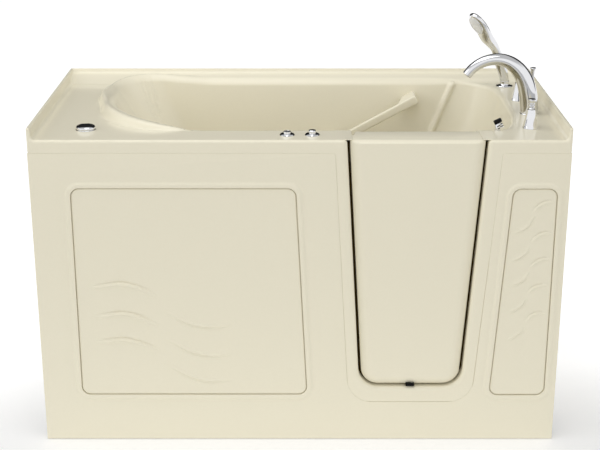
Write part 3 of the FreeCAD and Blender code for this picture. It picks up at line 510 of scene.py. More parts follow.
def shell(x, y, z):
    # deck with the raised headrest
    shift = -8 + 22 * ramp01(y, -60, 90) - 14 * ramp01(y, 130, 230)
    plan = rrect(x + shift, y, -612.0, 900.0, -280.0, 352.0, 252.0, 150.0, 5.0, 5.0)
    m = 1.5 + 0.7 * ramp01(y, -40, 120)
    crest = np.interp(x, CREST_X, CREST_Z) + 8.0 * ramp01(y, 120, 320) * ramp01(-x, 240, 330)
    h = soft_min(crest - DECK, -plan * m, 14.0)
    h = soft_max(h, 0 * h, 6.0)
    s = (z - DECK - h) / np.sqrt(1 + 0.8 * ramp01(h, 1, 8) * (1 - ramp01(h, 18, 26)))
    # sloped ledge along the back, then the tile flange on three sides
    foot = lerp(294.0, 312.0, ramp01(x, 470, 560))
    ledge = soft_max((z - (947 + (y - 322) * 0.26)) / 1.033, (10 * (z - DECK) - 6 * (y - foot)) / 11.66, 3.0)
    s = u_round(s, ledge, 6.0)
    lean = (z - DECK) * 0.12
    fl = np.minimum(np.minimum(x + 749 + lean, 749 - x + lean), 368 - y + lean)
    s = u_round(s, i_round(fl, z - 972, 3.0), 9.0)
    s = i_round(s, np.abs(x) - 762, 3.2)
    s = i_round(s, y - 381, 3.2)
    land = front_land(x, z)
    s = i_round(s, i_round(-(y + 381), np.minimum(-(y + 373.5), land), 1.2), 8.0)
    # hollows
    recess = np.maximum(np.maximum(np.abs(x - 324.5) - 220.5, np.abs(y + 287) - 47), 165 - z)
    hollow = u_round(u_round(basin(x, y, z), well(x, y, z), 10.0), recess, 5.0)
    # the rim is nearly sharp along the front, and rolls over widely at the headrest
    roll = lerp(5.0, 22.0, ramp01(y, -200, 120))
    roll = lerp(roll, 12.0, ramp01(x, 420, 560))
    roll = lerp(roll, 32.0, ramp01(-x, 350, 560))
    s = i_round(s, -hollow, roll)
    door = np.maximum(sd_convex(x, z, OPENING) - 60.0, y + 322)
    return i_round(s, -door, 12.0)


def steps(*parts):
    out = [parts[0][0]]
    for a, b, h in parts:
        n = max(1, int(round((b - a) / h)))
        out += [a + (b - a) * (i + 1) / n for i in range(n)]
    return np.array(out, float)


def lean_grid(x, z):
    """Leans the grid's columns along the door's sloping sides."""
    drop = DECK - np.clip(z, 126, DECK)
    return drop * np.interp(x, [-60, 75, 150, 490, 595, 700], [0, 0.059, 0.059, -0.0725, -0.0725, 0])


def net(f, X, Y, Z, warp):
    """Quads on the zero level of f over a grid, with the points moved onto it."""
    gx, gy, gz = np.meshgrid(X, Y, Z, indexing="ij")
    gx = gx + warp(gx, gz)
    val = f(gx, gy, gz)
    ins = val < 0
    nx, ny, nz = val.shape
    corners = [(a, b, c) for a in (0, 1) for b in (0, 1) for c in (0, 1)]
    cnt = np.zeros((nx - 1, ny - 1, nz - 1), np.int8)
    for a, b, c in corners:
        cnt += ins[a:nx - 1 + a, b:ny - 1 + b, c:nz - 1 + c]
    act = (cnt > 0) & (cnt < 8)
    ids = np.full(act.shape, -1, np.int64)
    ids[act] = np.arange(act.sum())
    I, J, K = np.nonzero(act)
    P, W = np.zeros((len(I), 3)), np.zeros(len(I))
    for p in corners:
        for ax in range(3):
            if p[ax]:
                continue
            q = list(p)
            q[ax] = 1
            i0, i1 = (I + p[0], J + p[1], K + p[2]), (I + q[0], J + q[1], K + q[2])
            v0, v1 = val[i0], val[i1]
            m = (v0 < 0) != (v1 < 0)
            t = np.where(m, v0 / np.where(m, v0 - v1, 1), 0)
            for c, g in enumerate((gx, gy, gz)):
                P[:, c] += np.where(m, g[i0] + (g[i1] - g[i0]) * t, 0)
            W += m
    P /= W[:, None]
    quads = []
    for ax in range(3):
        lo = [slice(None)] * 3
        hi = [slice(None)] * 3
        lo[ax], hi[ax] = slice(0, -1), slice(1, None)
        a, b = ins[tuple(lo)], ins[tuple(hi)]
        o1, o2 = (ax + 1) % 3, (ax + 2) % 3
        m = a != b
        e = np.stack(np.nonzero(m), axis=1)
        n = (nx, ny, nz)
        e = e[(e[:, o1] > 0) & (e[:, o1] < n[o1] - 1) & (e[:, o2] > 0) & (e[:, o2] < n[o2] - 1)]
        out = a[tuple(e.T)]
        cells = []
        for d1, d2 in ((-1, -1), (0, -1), (0, 0), (-1, 0)):
            c = e.copy()
            c[:, o1] += d1
            c[:, o2] += d2
            cells.append(ids[tuple(c.T)])
        q = np.stack(cells, axis=1)
        quads.append(np.where(out[:, None], q, q[:, ::-1]))
    Q = np.concatenate(quads)

    def grad(P):
        g = np.empty_like(P)
        for c in range(3):
            d = np.zeros(3)
            d[c] = 0.06
            g[:, c] = (f(*(P + d).T) - f(*(P - d).T)) / 0.12
        return g
    for _ in range(5):
        g = grad(P)
        s = f(*P.T) / np.maximum((g * g).sum(1), 1e-6)
        P = P - np.clip(s, -4, 4)[:, None] * g
    g = grad(P)
    return P, Q, g / np.maximum(np.linalg.norm(g, axis=1), 1e-9)[:, None]


XS = steps((-768, -740, 3.4), (-740, -650, 13), (-650, -300, 9.3), (-300, 70, 18), (70, 150, 5), (150, 405, 17), (405, 545, 5), (545, 600, 5.5),
           (600, 655, 7), (655, 736, 13), (736, 768, 3.4))
YS = steps((-385, -363, 2.4), (-363, -326, 5), (-326, -282, 5.2), (-282, 282, 15.5), (282, 345, 5), (345, 385, 3.4))
ZS = steps((110, 150, 7), (150, 200, 7), (200, 528, 20), (528, 610, 8), (610, 875, 16), (875, 906, 4.4), (906, 976, 3.0))
P, Q, NRM = net(shell, XS, YS, ZS, lean_grid)
mid = P[Q].mean(axis=1)
low = mid[:, 2] < 899.6
gone = low & ((np.abs(mid[:, 0]) > 757) | (mid[:, 1] > 376))
gone |= low & (mid[:, 1] < -372.6) & (mid[:, 1] > -374.6) & (front_land(mid[:, 0], mid[:, 2]) > 1.5)
gone |= mid[:, 2] < 116
Q = Q[~gone]
used = np.unique(Q)
back = np.full(len(P), -1)
back[used] = np.arange(len(used))
P, NRM, Q = P[used], NRM[used], back[Q]
# the moulding's own thickness behind the surface
n0 = len(P)
edge_use = {}
for q in Q:
    for a, b in zip(q, np.roll(q, -1)):
        edge_use[(int(a), int(b))] = True
rim = [(a, b) for a, b in edge_use if (b, a) not in edge_use]
faces = [list(map(int, q)) for q in Q] + [[int(i) + n0 for i in q[::-1]] for q in Q] + [[b, a, a + n0, b + n0] for a, b in rim]
tub = make("tub_shell_moulding", np.concatenate([P, P - NRM * 4.4]), faces, GEL, "tub", ["tub_shell"], normals=np.concatenate([NRM, -NRM]))

# ----------------------------------------------------------- apron and panels
LEFT_HOLE = [(-648.5, 798.5), (-648.5, 151.5), (23.3, 151.5), (-9.8, 798.5)]
RIGHT_HOLE = [(603, 797.5), (563.1, 149.5), (730, 149.5), (730, 797.5)]
LEFT_PANEL = [(-645.5, 795.5), (-645.5, 154.5), (20.2, 154.5), (-12.9, 795.5)]
RIGHT_PANEL = [(606.1, 794.5), (566.4, 152.5), (727, 152.5), (727, 794.5)]
FRONT = -381.0

ap = Build()
pos, nor = contour([(-762, 3), (762, 3), (762, 900.6), (569.4, 900.6), (512.6, 126.5), (145.4, 126.5), (100.0, 900.6), (-762, 900.6)],
                   [0, 0, 0, 6, 76, 76, 6, 0], arc=14)
EDGE = [(0, -375), (0, -380.0), (-0.2, -380.55), (-0.6, -380.88), (-1.6, -381)]
ap.rings([front_ring(pos, nor, d, y) for d, y in EDGE])
ap.rings([front_ring(pos, nor, d, y) for d, y in ((-5, -375), (0, -375))])
outer_loop = pos + nor * -1.6
hole_loops = []
for hole in (LEFT_HOLE, RIGHT_HOLE):
    hp, hn = contour(hole, [26] * 4, arc=12)
    prof = [(0, -375), (0, -382.4), (0.4, -383.5), (1.3, -384.2), (2.6, -384.4), (6.0, -384.5), (9.0, -384.55)]
    for k in range(1, 13):
        t = k / 12
        prof.append((9.0 + 10.5 * t, -381 - 1.775 * (1 + math.cos(math.pi * t))))
    prof += [(28, -381)]
    ap.rings([front_ring(hp, hn, d, y) for d, y in prof], flip=True)
    ap.rings([front_ring(hp, hn, d, -375) for d in (0, 28)])
    # rebate lip that the panel's edge closes against
    ap.rings([front_ring(hp, hn, d, y) for d, y in ((-9, -374.9), (2, -374.9), (2, -372), (-9, -372), (-9, -374.9))], flip=True)
    hole_loops.append(hp + hn * 28)
fill_plane(ap, [outer_loop] + hole_loops, FRONT)
fill_plane(ap, [pos + nor * -5] + hole_loops, -375, facing=1)
for s in (-1, 1):
    x0, x1 = 762 * s, 756 * s
    sec = fillet([(x1, -375), (x1, -351), (x0, -351), (x0, -375)], 2.0, 3)
    ap.rings([[(p[0], p[1], z) for p in sec] for z in (3, 899.5)], closed=False, flip=s > 0)
    ap.add([(x1, -375, 899.5), (x0, -375, 899.5), (x0, -353, 899.5), (x1, -353, 899.5)], [[0, 1, 2, 3]])
weld(ap).done("front_apron_skirt", GEL, "tub", ["front_apron"], sharp=38)


def relief(b, x0, x1, z0, z1, dx, dz, lines):
    """A rectangle of a panel's face with moulded crescents: a crest, and a crease along its outer side. Returns its outline."""
    X = np.linspace(x0, x1, int(round((x1 - x0) / dx)) + 1)
    Z = np.linspace(z0, z1, int(round((z1 - z0) / dz)) + 1)
    G = np.stack(np.meshgrid(X, Z, indexing="ij"), axis=-1).reshape(-1, 2)
    H = np.zeros(len(G))
    for line, w, h, side in lines:
        c = np.array(spline(line, 70))
        t = np.gradient(c, axis=0)
        t /= np.linalg.norm(t, axis=1)[:, None]
        up = np.stack([-t[:, 1], t[:, 0]], axis=1)
        up *= np.where(up[:, 1] < 0, -1, 1)[:, None]
        q = ((G[:, None, :] - c[None]) ** 2).sum(axis=2)
        n = q.argmin(axis=1)
        u = ((G - c[n]) * up[n]).sum(axis=1) * side / w
        taper = np.sin(math.pi * n / 69) ** 0.7
        H += taper * h * (np.exp(-(((u + 0.15) / 0.55) ** 2)) - 0.75 * np.exp(-(((u - 0.80) / 0.36) ** 2)))
    edge = np.minimum(np.minimum(G[:, 0] - x0, x1 - G[:, 0]), np.minimum(G[:, 1] - z0, z1 - G[:, 1]))
    H *= np.clip(edge / 8, 0, 1)
    Y = (FRONT - H).reshape(len(X), len(Z))
    b.rings([[(X[a], Y[a, e], Z[e]) for e in range(len(Z))] for a in range(len(X))], closed=False, flip=True)
    return np.array([(x, z0) for x in X[:-1]] + [(x1, z) for z in Z[:-1]] + [(x, z1) for x in X[:0:-1]] + [(x0, z) for z in Z[:0:-1]])


def panel(name, corners, body, node, area):
    b = Build()
    pos, nor = contour(corners, [23] * 4, arc=12)
    pos = pos + nor * 0.8
    rings = [(0, -375.3), (0, -379.2), (-0.4, -380.3), (-1.5, -381), (-4, -381)]
    b.rings([front_ring(pos, nor, d, y) for d, y in rings])
    fill_plane(b, [pos + nor * -4, relief(b, *area)], FRONT)
    fill_plane(b, [pos], -375.3, facing=1)
    return weld(b).done(name, GEL, body, [node], sharp=50)


ARCH = [[(-603, 494), (-567, 501), (-524, 507), (-487, 501), (-450, 487), (-413, 465)],
        [(-599, 402), (-561, 409), (-523, 414), (-485, 408), (-448, 393), (-413, 372)],
        [(-598, 321), (-559, 327), (-521, 330), (-483, 323), (-445, 310), (-414, 292)]]
VALLEY = [[(-390, 420), (-350, 397), (-313, 380), (-275, 373), (-237, 373), (-196, 379)],
          [(-392, 334), (-353, 311), (-315, 291), (-277, 282), (-239, 280), (-198, 287)],
          [(-390, 249), (-355, 229), (-317, 209), (-279, 198), (-241, 197), (-199, 202)]]
panel("left_access_panel_face", LEFT_PANEL, "left_panel", "left_access_panel",
      (-628, -172, 178, 532, 4.0, 1.5, [(a, 7.5, 4.2, 1) for a in ARCH] + [(v, 7.0, 2.7, -1) for v in VALLEY]))
RIGHT_COL = [[(665, 729), (681, 747), (699, 756), (722, 757)], [(664, 638), (680, 654), (699, 663), (721, 663)], [(661, 556), (679, 574), (697, 583), (719, 584)],
             [(661, 477), (677, 494), (696, 502), (717, 503)], [(662, 389), (677, 407), (694, 415), (718, 415)]]
LEFT_COL = [[(607, 664), (632, 672), (652, 687), (667, 716)], [(605, 576), (630, 588), (648, 602), (660, 625)], [(610, 500), (634, 511), (650, 524), (661, 545)],
            [(611, 416), (632, 429), (647, 443), (659, 463)], [(611, 328), (631, 342), (647, 355), (658, 372)]]
panel("right_access_panel_face", RIGHT_PANEL, "right_panel", "right_access_panel",
      (610, 722.5, 318, 768, 1.8, 1.8, [(c, 6.0, 3.0, 1) for c in RIGHT_COL] + [(c, 6.0, 2.5, -1) for c in LEFT_COL]))

# --------------------------------------------------------------------- the door
PLUG = [(140.8, 936), (185.2, 181), (472, 181), (522, 936)]
FLANGE = [(126, 936), (171.6, 171.5), (480.8, 171.5), (536.2, 936)]
N_ACROSS = 18


def door_chain(side, top, r_top, r_bot, right):
    """One side of the door's outline from its top corner to the bottom edge, moved in by `side` and, at the top, by `top`."""
    (tlx, tlz), (blx, blz), (brx, brz), (trx, trz) = PLUG
    a, b, other = ((trx, trz), (brx, brz), (blx, blz)) if right else ((tlx, tlz), (blx, blz), (brx, brz))
    a, b = np.array(a), np.array(b)
    e = (b - a) / np.linalg.norm(b - a)
    n = np.array([e[1], -e[0]]) if right else np.array([-e[1], e[0]])   # towards the middle
    zt, zb = trz - top, brz + side
    p = a + n * side
    at = lambda z: p + e * ((z - p[1]) / e[1])
    far = np.array([other[0], zb])
    start = np.array([(tlx + trx) / 2, zt])
    line = fillet([start, at(zt), at(zb), far], [0, r_top, r_bot, 0], 10)
    arc1, arc2 = line[1:12], line[12:23]
    mids = [arc1[-1] + (arc2[0] - arc1[-1]) * k / 15 for k in range(1, 15)]
    return arc1 + mids + arc2


def door_loop(side, top, r_top, r_bot):
    L, R = door_chain(side, top, r_top, r_bot, False), door_chain(side, top, r_top, r_bot, True)
    low = [L[-1] + (R[-1] - L[-1]) * k / N_ACROSS for k in range(1, N_ACROSS)]
    top_edge = [R[0] + (L[0] - R[0]) * k / N_ACROSS for k in range(1, N_ACROSS)]
    return L, R, L + low + R[::-1] + top_edge


def crown(x, z):
    """How far the door's face bulges, smoothly from nothing at its edge."""
    t = (z - 211) / (926 - 211)
    u = (x - lerp(328.6, 331.4, t)) / lerp(111, 159, t)
    return 1.2 * max(0, 1 - u * u) ** 2 * max(0, 1 - (2 * t - 1) ** 4) ** 2


dr = Build()
# a crisp edge, then a long gentle fall from the face to it
rings = []
FALL = [(0, -329.5), (0, -345), (0, -361.5), (0.25, -363.2), (0.9, -364.7), (2.0, -365.9)] + [(2 + 28 * k / 9, -365.9 - 12.7 * math.sin(math.pi / 2 * k / 9)) for k in range(1, 10)]
for d, y in FALL:
    L, R, loop = door_loop(d, 0.3 * d, 5.0, 51 - d)
    rings.append([(q[0], y, q[1]) for q in loop])
dr.rings(rings)
rows = []
for a, b in zip(L, R):
    row = [a + (b - a) * k / N_ACROSS for k in range(N_ACROSS + 1)]
    rows.append([(q[0], -378.6 - crown(*q), q[1]) for q in row])
dr.rings(rows, closed=False)
pos, nor = contour(FLANGE, [4, 62, 62, 4], arc=12, step=45)
fl_rings = [(-14, -330), (-1.2, -330), (-0.3, -329.4), (0, -328.5), (0, -315.5), (-0.6, -313.6), (-1.8, -312.5), (-3.6, -312), (-14, -312)]
dr.rings([front_ring(pos, nor, d, y) for d, y in fl_rings], flip=True)
in_loop = pos + nor * -14
c = in_loop.mean(axis=0)
dr.rings([[(p[0], -312, p[1]) for p in c + (in_loop - c) * s] for s in (1.0, 0.6, 0.2)], cap1="fan", flip=True)
weld(dr)
# top rail: runs on from the door's top edge to the inside
sec = fillet([(-330, 905), (-281, 905), (-278, 908), (-278, 936.2), (-352, 936.2), (-352, 930), (-330, 930)], [0, 3, 3, 4, 0.8, 0, 0], 5)
rail = lambda x0, x1, g: [(x0 if p[0] < -330.5 else x1, p[0] + (-312 - p[0]) * g * (p[0] > -313), p[1] - 1.6 * g * (p[1] > 920)) for p in sec]
dr.rings([rail(146.0, 158.0, 1), rail(146.6, 158.6, 0.35), rail(148.0, 160.0, 0), rail(514.0, 530.0, 0), rail(515.4, 531.4, 0.35), rail(516.0, 532.0, 1)], cap0="fan", cap1="fan")
dr.done("door_panel_moulding", GEL, "door", ["door_panel"], sharp=50)

# fixed cover strips that carry the rim on over the hinge and beside the latch
cv = Build()
for ends in (((99.0, 0), (100.5, 0), (146.4, 0), (146.9, 0.4), (147.2, 1)), ((512.6, 1), (512.9, 0.4), (513.4, 0), (549.5, 0), (551.0, 0))):
    sec = fillet([(-306, 936.5), (-371, 936.5), (-371, 938.05), (-368, 938.05), (-278, 938.05), (-274.5, 938.05), (-274.5, 936.5), (-306, 936.5)], [0, 0.5, 0.6, 0, 0, 0.7, 0.5, 0], 3)[:-1]
    cv.rings([[(x, q[0], q[1] - 0.5 * g * (q[1] > 937.5)) for q in sec] for x, g in ends], cap0="fan", cap1="fan")
weld(cv).done("rim_cover_strips", GEL, "tub", sharp=40)

# The door seal sits high in the gap, and its dark brown colour is partly painted shade for that gap.
sl = Build()
seal_path = fillet([(134.6, 922), (179.6, 178.4), (476.8, 178.4), (527.0, 922)], 56, 14)
path = []
for a, b in zip(seal_path[:-1], seal_path[1:]):
    m = max(1, int(np.linalg.norm(b - a) // 40))
    path += [a + (b - a) * k / m for k in range(m)]
path.append(seal_path[-1])
path = np.array(path)
tan = np.gradient(path, axis=0)
tan /= np.linalg.norm(tan, axis=1)[:, None]
inw = np.stack([-tan[:, 1], tan[:, 0]], axis=1)
section = fillet([(-5.6, -330.1), (-5.6, -333.4), (-0.6, -333.4), (0.4, -337.5), (3.2, -339.6), (5.4, -336.5), (5.4, -330.1)], 1.2, 4)
sl.rings([[(p[0] + w[0] * u, y, p[1] + w[1] * u) for u, y in section] for p, w in zip(path, inw)], closed=False, flip=True)
for idx, rev in ((0, False), (-1, True)):
    ring = [(path[idx][0] + inw[idx][0] * u, y, path[idx][1] + inw[idx][1] * u) for u, y in section]
    sl.add(ring, [list(range(len(ring)))[::-1] if rev else list(range(len(ring)))])
weld(sl).done("door_seal_bulb", SEAL_RUBBER_WITH_GAP_SHADE, "door", ["door_seal"], sharp=45)

wp = Build()
sec = fillet([(316, 178.6), (316, 185.6), (329, 185.8), (342, 185.6), (342, 178.6)], [0, 2.5, 0, 2.5, 0], 4)
wp.rings([[(p[0] + (329 - p[0]) * g, y, p[1] + (182 - p[1]) * g) for p in sec] for y, g in ((-364, 0), (-378.5, 0), (-379.6, 0.06), (-380, 0.16))], closed=True, cap0="fan", cap1="fan")
for i in range(5):
    x = 319.5 + i * 4.6
    wp.rings([[(x, y, 180.2), (x + 2.4, y, 180.2), (x + 2.4, y, 184.2), (x, y, 184.2)] for y in (-379.7, -381.2)], cap1="fan")
weld(wp).done("sill_weep_grille", BLACK, "tub", ["sill_weep"], sharp=30)

# ------------------------------------------------------------------- grab bar
gb = Build()
BU, BV = np.array([-0.8744, 0, -0.4852]), np.array([-0.4852, 0, 0.8744])
BA = np.array([380.0, 0, 901.0])


def bar_section(a, tall, front, back, r):
    """A rounded oblong across the rail at distance a from its upper end."""
    r = min(r, tall * 0.95, (back - front) * 0.48)
    out = []
    for k in range(4):
        cy, cv = ((front + r, -tall + r), (back - r, -tall + r), (back - r, tall - r), (front + r, tall - r))[k]
        for j in range(6):
            t = math.pi * (1 + k * 0.5) + math.pi / 2 * j / 5
            out.append(BA + BU * a + BV * (cv + r * math.sin(t)) + np.array([0, cy + r * math.cos(t), 0]))
    return out


bar = []
for a in [0, 0.8, 2.4, 5, 9] + list(np.linspace(14, 50, 7)) + list(np.linspace(54, 82, 9)) + list(np.linspace(92, 253, 12)) + list(np.linspace(263, 291, 9)) + list(np.linspace(297, 331, 6)) + [336, 340, 342.6, 344.2, 345]:
    end = min(a, 345 - a)
    foot = 1 - float(ramp01(np.array(end), 42, 64))
    nose = math.sqrt(max(0.0, 1 - (1 - min(end, 9.0) / 9.0) ** 2))
    zc = 901 - 0.4852 * a
    wall = 319 + (262 - 319) * (972 - zc) / 422 + 2.5
    tall = (13.0 + 1.2 * foot) * (0.45 + 0.55 * nose)
    bar.append(bar_section(a, tall, 238 + 6 * (1 - nose) - 1.0 * foot, 256 + (wall - 256) * foot, 5.5))
gb.rings(bar, cap0="fan", cap1="fan", flip=True)
weld(gb).done("grab_bar_moulding", GEL, "tub", ["grab_bar"], sharp=60)

# --------------------------------------------------------------------- latch
LX, LZ = 567.0, 926.0
SL = math.radians(26)
ca, sa = math.cos(SL), math.sin(SL)
lt = Build()
prof = fillet([(0, -6), (7.2, -6), (8, 12), (9, 33.6), (-7.4, 25.8), (-7.4, 10), (-6.8, -6), (0, -6)], [0, 3, 6, 0.5, 0.5, 6, 3, 0], 4)[:-1]
ring = lambda y, g: [(LX + 0.8 + (p[0] - 0.8) * g, y, LZ + 14 + (p[1] - 14) * (1 - (1 - g) * 0.35)) for p in prof]
lt.rings([ring(-268, 0.84), ring(-267.3, 0.95), ring(-266, 1.0), ring(-262, 1.0), ring(-260.7, 0.95), ring(-260, 0.84)], cap0="fan", cap1="fan", flip=True)
lathe(lt, [(5.06, -268), (10.2, -268), (11, -267.2), (11, -257.4), (10, -256.2), (5.06, -256.2), (5.06, -268)], (LX, 0, LZ), axis=(0, 1, 0), n=40)
for w in (9.0, 16.0):  # raised bands under the grip
    band = [(LX + 0.7 + ca * i * 9.4 - sa * (j - 4.8 - w + 1.6), LZ + 35.6 + sa * i * 9.4 + ca * (j - 4.8 - w + 1.6)) for i, j in ((-1, -1.6), (1, -1.6), (1, 1.6), (-1, 1.6))]
    bring = lambda y, g: [(q[0] + (np.mean([t[0] for t in band]) - q[0]) * g, y, q[1] + (np.mean([t[1] for t in band]) - q[1]) * g) for q in band]
    lt.rings([bring(-268, 0.10), bring(-267.4, 0), bring(-259.4, 0), bring(-258.8, 0.10)], cap0="fan", cap1="fan", flip=True)
weld(lt).done("latch_lever_arm", CHROME, "latch", ["latch_lever"], sharp=40)
lg = Build()
sec = fillet([(0, -4.8), (11.5, -4.8), (11.5, 4.8), (-11.5, 4.8), (-11.5, -4.8), (0, -4.8)], [0, 2.0, 2.0, 2.0, 2.0, 0], 4)[:-1]
rr = lambda y, g: [(LX + 0.7 + (p[0] * ca - p[1] * sa) * g, y, LZ + 35.6 + (p[0] * sa + p[1] * ca) * g) for p in sec]
lg.rings([rr(-268.0, 0.84), rr(-267.2, 0.94), rr(-265.5, 1), rr(-255.5, 1), rr(-253.8, 0.94), rr(-253, 0.84)], cap0="fan", cap1="fan", flip=True)
weld(lg).done("latch_grip_cap", BLACK, "latch", ["latch_grip"], sharp=45)

# ------------------------------------------------------ buttons and intake cap
BUTTONS = [(-35, -324), (36, -324)]
bz = Build()
for x, y in BUTTONS:
    lathe(bz, [(3, 900), (3, 913), (13.9, 913), (13.9, 938.05), (21.5, 938.05), (21.5, 939.8), (19.2, 942.6), (15.5, 943.9), (12.2, 944), (11.35, 943), (11.35, 926)], (x, y, 0), rounding=0.8, n=64)
weld(bz).done("button_bezel_rings", CHROME, "tub", ["button_bezels"], sharp=45)
for name, node, (x, y), prof in (
        ("jet_button_cap", "jet_button", BUTTONS[0], [(0, 930), (10.9, 930), (10.9, 948.4), (10.2, 949.6), (8.6, 950), (7.6, 949.3), (0, 948.9)]),
        ("speed_button_cap", "speed_button", BUTTONS[1], [(0, 930), (10.9, 930), (10.9, 949.6), (10.3, 952.0), (8.8, 953.2), (6, 953.7), (0, 954)])):
    b = Build()
    lathe(b, prof, (x, y, 0), rounding=0.7, n=56)
    weld(b).done(name, CHROME, "jet_button" if node == "jet_button" else "speed_button", [node], sharp=50)
CAP = (-613, -265)
b = Build()
lathe(b, [(17, 890), (21.5, 890), (21.5, 938.05), (29, 938.05), (29, 939.6), (27, 941), (17, 941), (17, 890)], (*CAP, 0), rounding=0.6, n=64)
weld(b).done("air_intake_seat", CHROME, "tub", ["air_intake_base"], sharp=45)
b = Build()
lathe(b, [(0, 925), (16.6, 925), (16.6, 941.4), (27.6, 941.4), (28.5, 942.3), (28.5, 944.6), (27.8, 947.0), (26.0, 949.0), (22.5, 950.3), (14, 951.2), (0, 951.6)], (*CAP, 0), rounding=1.0, n=72)
weld(b).done("air_intake_dome", CHROME, "intake_cap", ["air_intake_cap"], sharp=50)

# ---------------------------------------------------------------------- taps
COLD, HOT, SPOUT, DIVERT, DOCK = (664, -249), (680, 79), (688, -85), (704, -20), (666, 269)
b = Build()
for x, y in (COLD, HOT):
    lathe(b, [(5.3, 938.05), (22.4, 938.05), (22.4, 939.6), (20.6, 946), (16.6, 965), (13.2, 983), (11.6, 992.6), (10.9, 994), (5.3, 994)], (x, y, 0), rounding=0.9, n=64)
weld(b).done("handle_cones", CHROME, "tub", ["handle_escutcheons"], sharp=40)
for name, node, body, (x, y) in (("cold_handle_top", "cold_handle", "cold_tap", COLD), ("hot_handle_top", "hot_handle", "hot_tap", HOT)):
    b = Build()
    lathe(b, [(0, 958), (5, 958), (5, 994.4), (9.8, 994.4), (9.8, 997), (8.6, 998.2), (8.4, 1001.5), (9.5, 1003), (9.5, 1006), (8.8, 1007.2), (9.2, 1014), (10.7, 1019.5), (11, 1021.4), (11, 1023), (10.2, 1024), (0, 1023.6)], (x, y, 0), rounding=0.7, n=56)
    for k in range(8):  # finger flats round the neck
        a = 2 * math.pi * k / 8
        lathe(b, [(0.1, 1008.2), (1.1, 1009.2), (1.1, 1013.2), (0.1, 1014.2)], (x + 8.6 * math.cos(a), y + 8.6 * math.sin(a), 0), n=10)
    weld(b).done(name, CHROME, body, [node], sharp=45)

SP = [(688, 938.1, 26.9), (687.4, 950, 27.1), (686, 965, 27.2), (681, 1000, 27), (671, 1035, 25.6), (655, 1064, 23.5), (633, 1086, 21.2), (608, 1099, 19), (583, 1103, 17.6),
      (556, 1099.5, 16.4), (530, 1088, 15.4), (510, 1072.5, 14.7), (497, 1056.5, 14.3)]
b = Build()
line = spline([(x, z, 0, r) for x, z, r in SP], 90)
cen = np.stack([line[:, 0], np.full(len(line), SPOUT[1]), line[:, 1]], axis=1)
sweep(b, cen, line[:, 3], n=48, cap=False)
end_c, end_d = cen[-1], cen[-1] - cen[-2]
end_d /= np.linalg.norm(end_d)
lathe(b, [(14.3, -0.6), (14.25, 0.4), (13.6, 1.4), (12.2, 1.7), (11.3, 1.0), (11.0, -4), (0, -4)], tuple(end_c), axis=tuple(end_d), n=48)
lathe(b, [(28.2, 938.05), (28.6, 938.9), (28.4, 940.6), (27.2, 942.2), (26.6, 943)], (*SPOUT, 0), n=64)
lathe(b, [(0, 855), (14.6, 855), (14.6, 938.4), (26.9, 938.4)], (*SPOUT, 0), n=40)
weld(b).done("spout_arch_body", CHROME, "tub", ["spout"], sharp=50)
ae = Build()
for r, k in ((0.0, 1), (4.0, 6), (8.0, 12)):
    for i in range(k):
        a = 2 * math.pi * i / k
        u, w, ax = frame_of(tuple(end_d))
        lathe(ae, [(0, -3.9), (1.5, -3.9), (1.5, -2.9), (1.0, -2.5), (0, -2.5)], tuple(end_c + (u * math.cos(a) + w * math.sin(a)) * r), axis=tuple(end_d), n=10)
weld(ae).done("spout_aerator", GREY, "tub", sharp=40)

b = Build()
lathe(b, [(4.3, 900), (4.3, 855), (16, 855), (16, 890), (10.6, 890), (10.6, 938.05), (14, 938.05), (14, 943), (12.6, 945.4), (9, 951), (7.6, 952), (4.3, 952), (4.3, 900)], (*DIVERT, 0), rounding=0.7, n=48)
weld(b).done("diverter_collar", CHROME, "tub", ["diverter_valve"], sharp=40)
b = Build()
lathe(b, [(0, 866), (3.9, 866), (3.9, 1028), (4.3, 1040), (5.4, 1050), (7.4, 1057), (9, 1059.8), (9, 1062.6), (8.2, 1063.6), (0, 1064)], (*DIVERT, 0), rounding=0.6, n=40)
weld(b).done("diverter_lift_knob", CHROME, "diverter", ["diverter_knob"], sharp=50)

# ---------------------------------------------------------------- hand shower
b = Build()
lathe(b, [(8.6, 905), (13.6, 905), (13.6, 938.05), (28.6, 938.05), (28.6, 940.4), (26.6, 942.2), (20, 943.6), (16, 945), (15, 947.4), (15, 954.6), (14.2, 956), (9.4, 956), (8.6, 955.2), (8.6, 905)], (*DOCK, 0), rounding=0.8, n=64)
weld(b).done("shower_dock_collar", CHROME, "tub", ["shower_dock"], sharp=40)
LEAN, TIP = np.array([-0.8192, -0.5736, 0]), math.radians(39.5)
UPZ, ACROSS = np.array([0, 0, 1.0]), np.array([0.5736, -0.8192, 0])
HU = LEAN * math.sin(TIP) + UPZ * math.cos(TIP)
HN = LEAN * math.cos(TIP) - UPZ * math.sin(TIP)
on_lean = lambda t, z: np.array([DOCK[0], DOCK[1], 0.0]) + LEAN * t + UPZ * z
HC = on_lean(122, 1151)
b = Build()
# along the lean: distance out, height, half width, half thickness, squareness, how far its middle stands out
PADDLE = [(0, 956.4, 14.3, 14.3, 2.0, 0), (3.6, 968, 15, 15, 2.0, 0), (8.5, 982, 15.6, 15.6, 2.0, 0), (20.8, 1006.6, 15.8, 15.8, 2.0, 0), (31.2, 1029.2, 15, 14.8, 2.0, 0), (40.6, 1051.6, 14.4, 14.0, 2.0, 0),
          (51, 1070, 15.2, 14.2, 2.0, 0.6), (66, 1089, 19.0, 16.2, 2.1, 3.0), (84.5, 1108.5, 24.5, 17.2, 2.4, 4.4), (105, 1131.5, 28.5, 14.4, 2.8, 1.6), (122, 1151, 30, 12.4, 3.0, 0), (135, 1166.8, 28.0, 11.0, 2.9, 0),
          (145, 1179, 22, 9.6, 2.6, 0), (150.4, 1185.5, 14.5, 7.8, 2.3, 0), (152.8, 1188.4, 7.5, 4.8, 2.0, 0)]
line = spline([(t, z, 0, a, d, p, c) for t, z, a, d, p, c in PADDLE], 84)
tan = np.gradient(line[:, :2], axis=0)
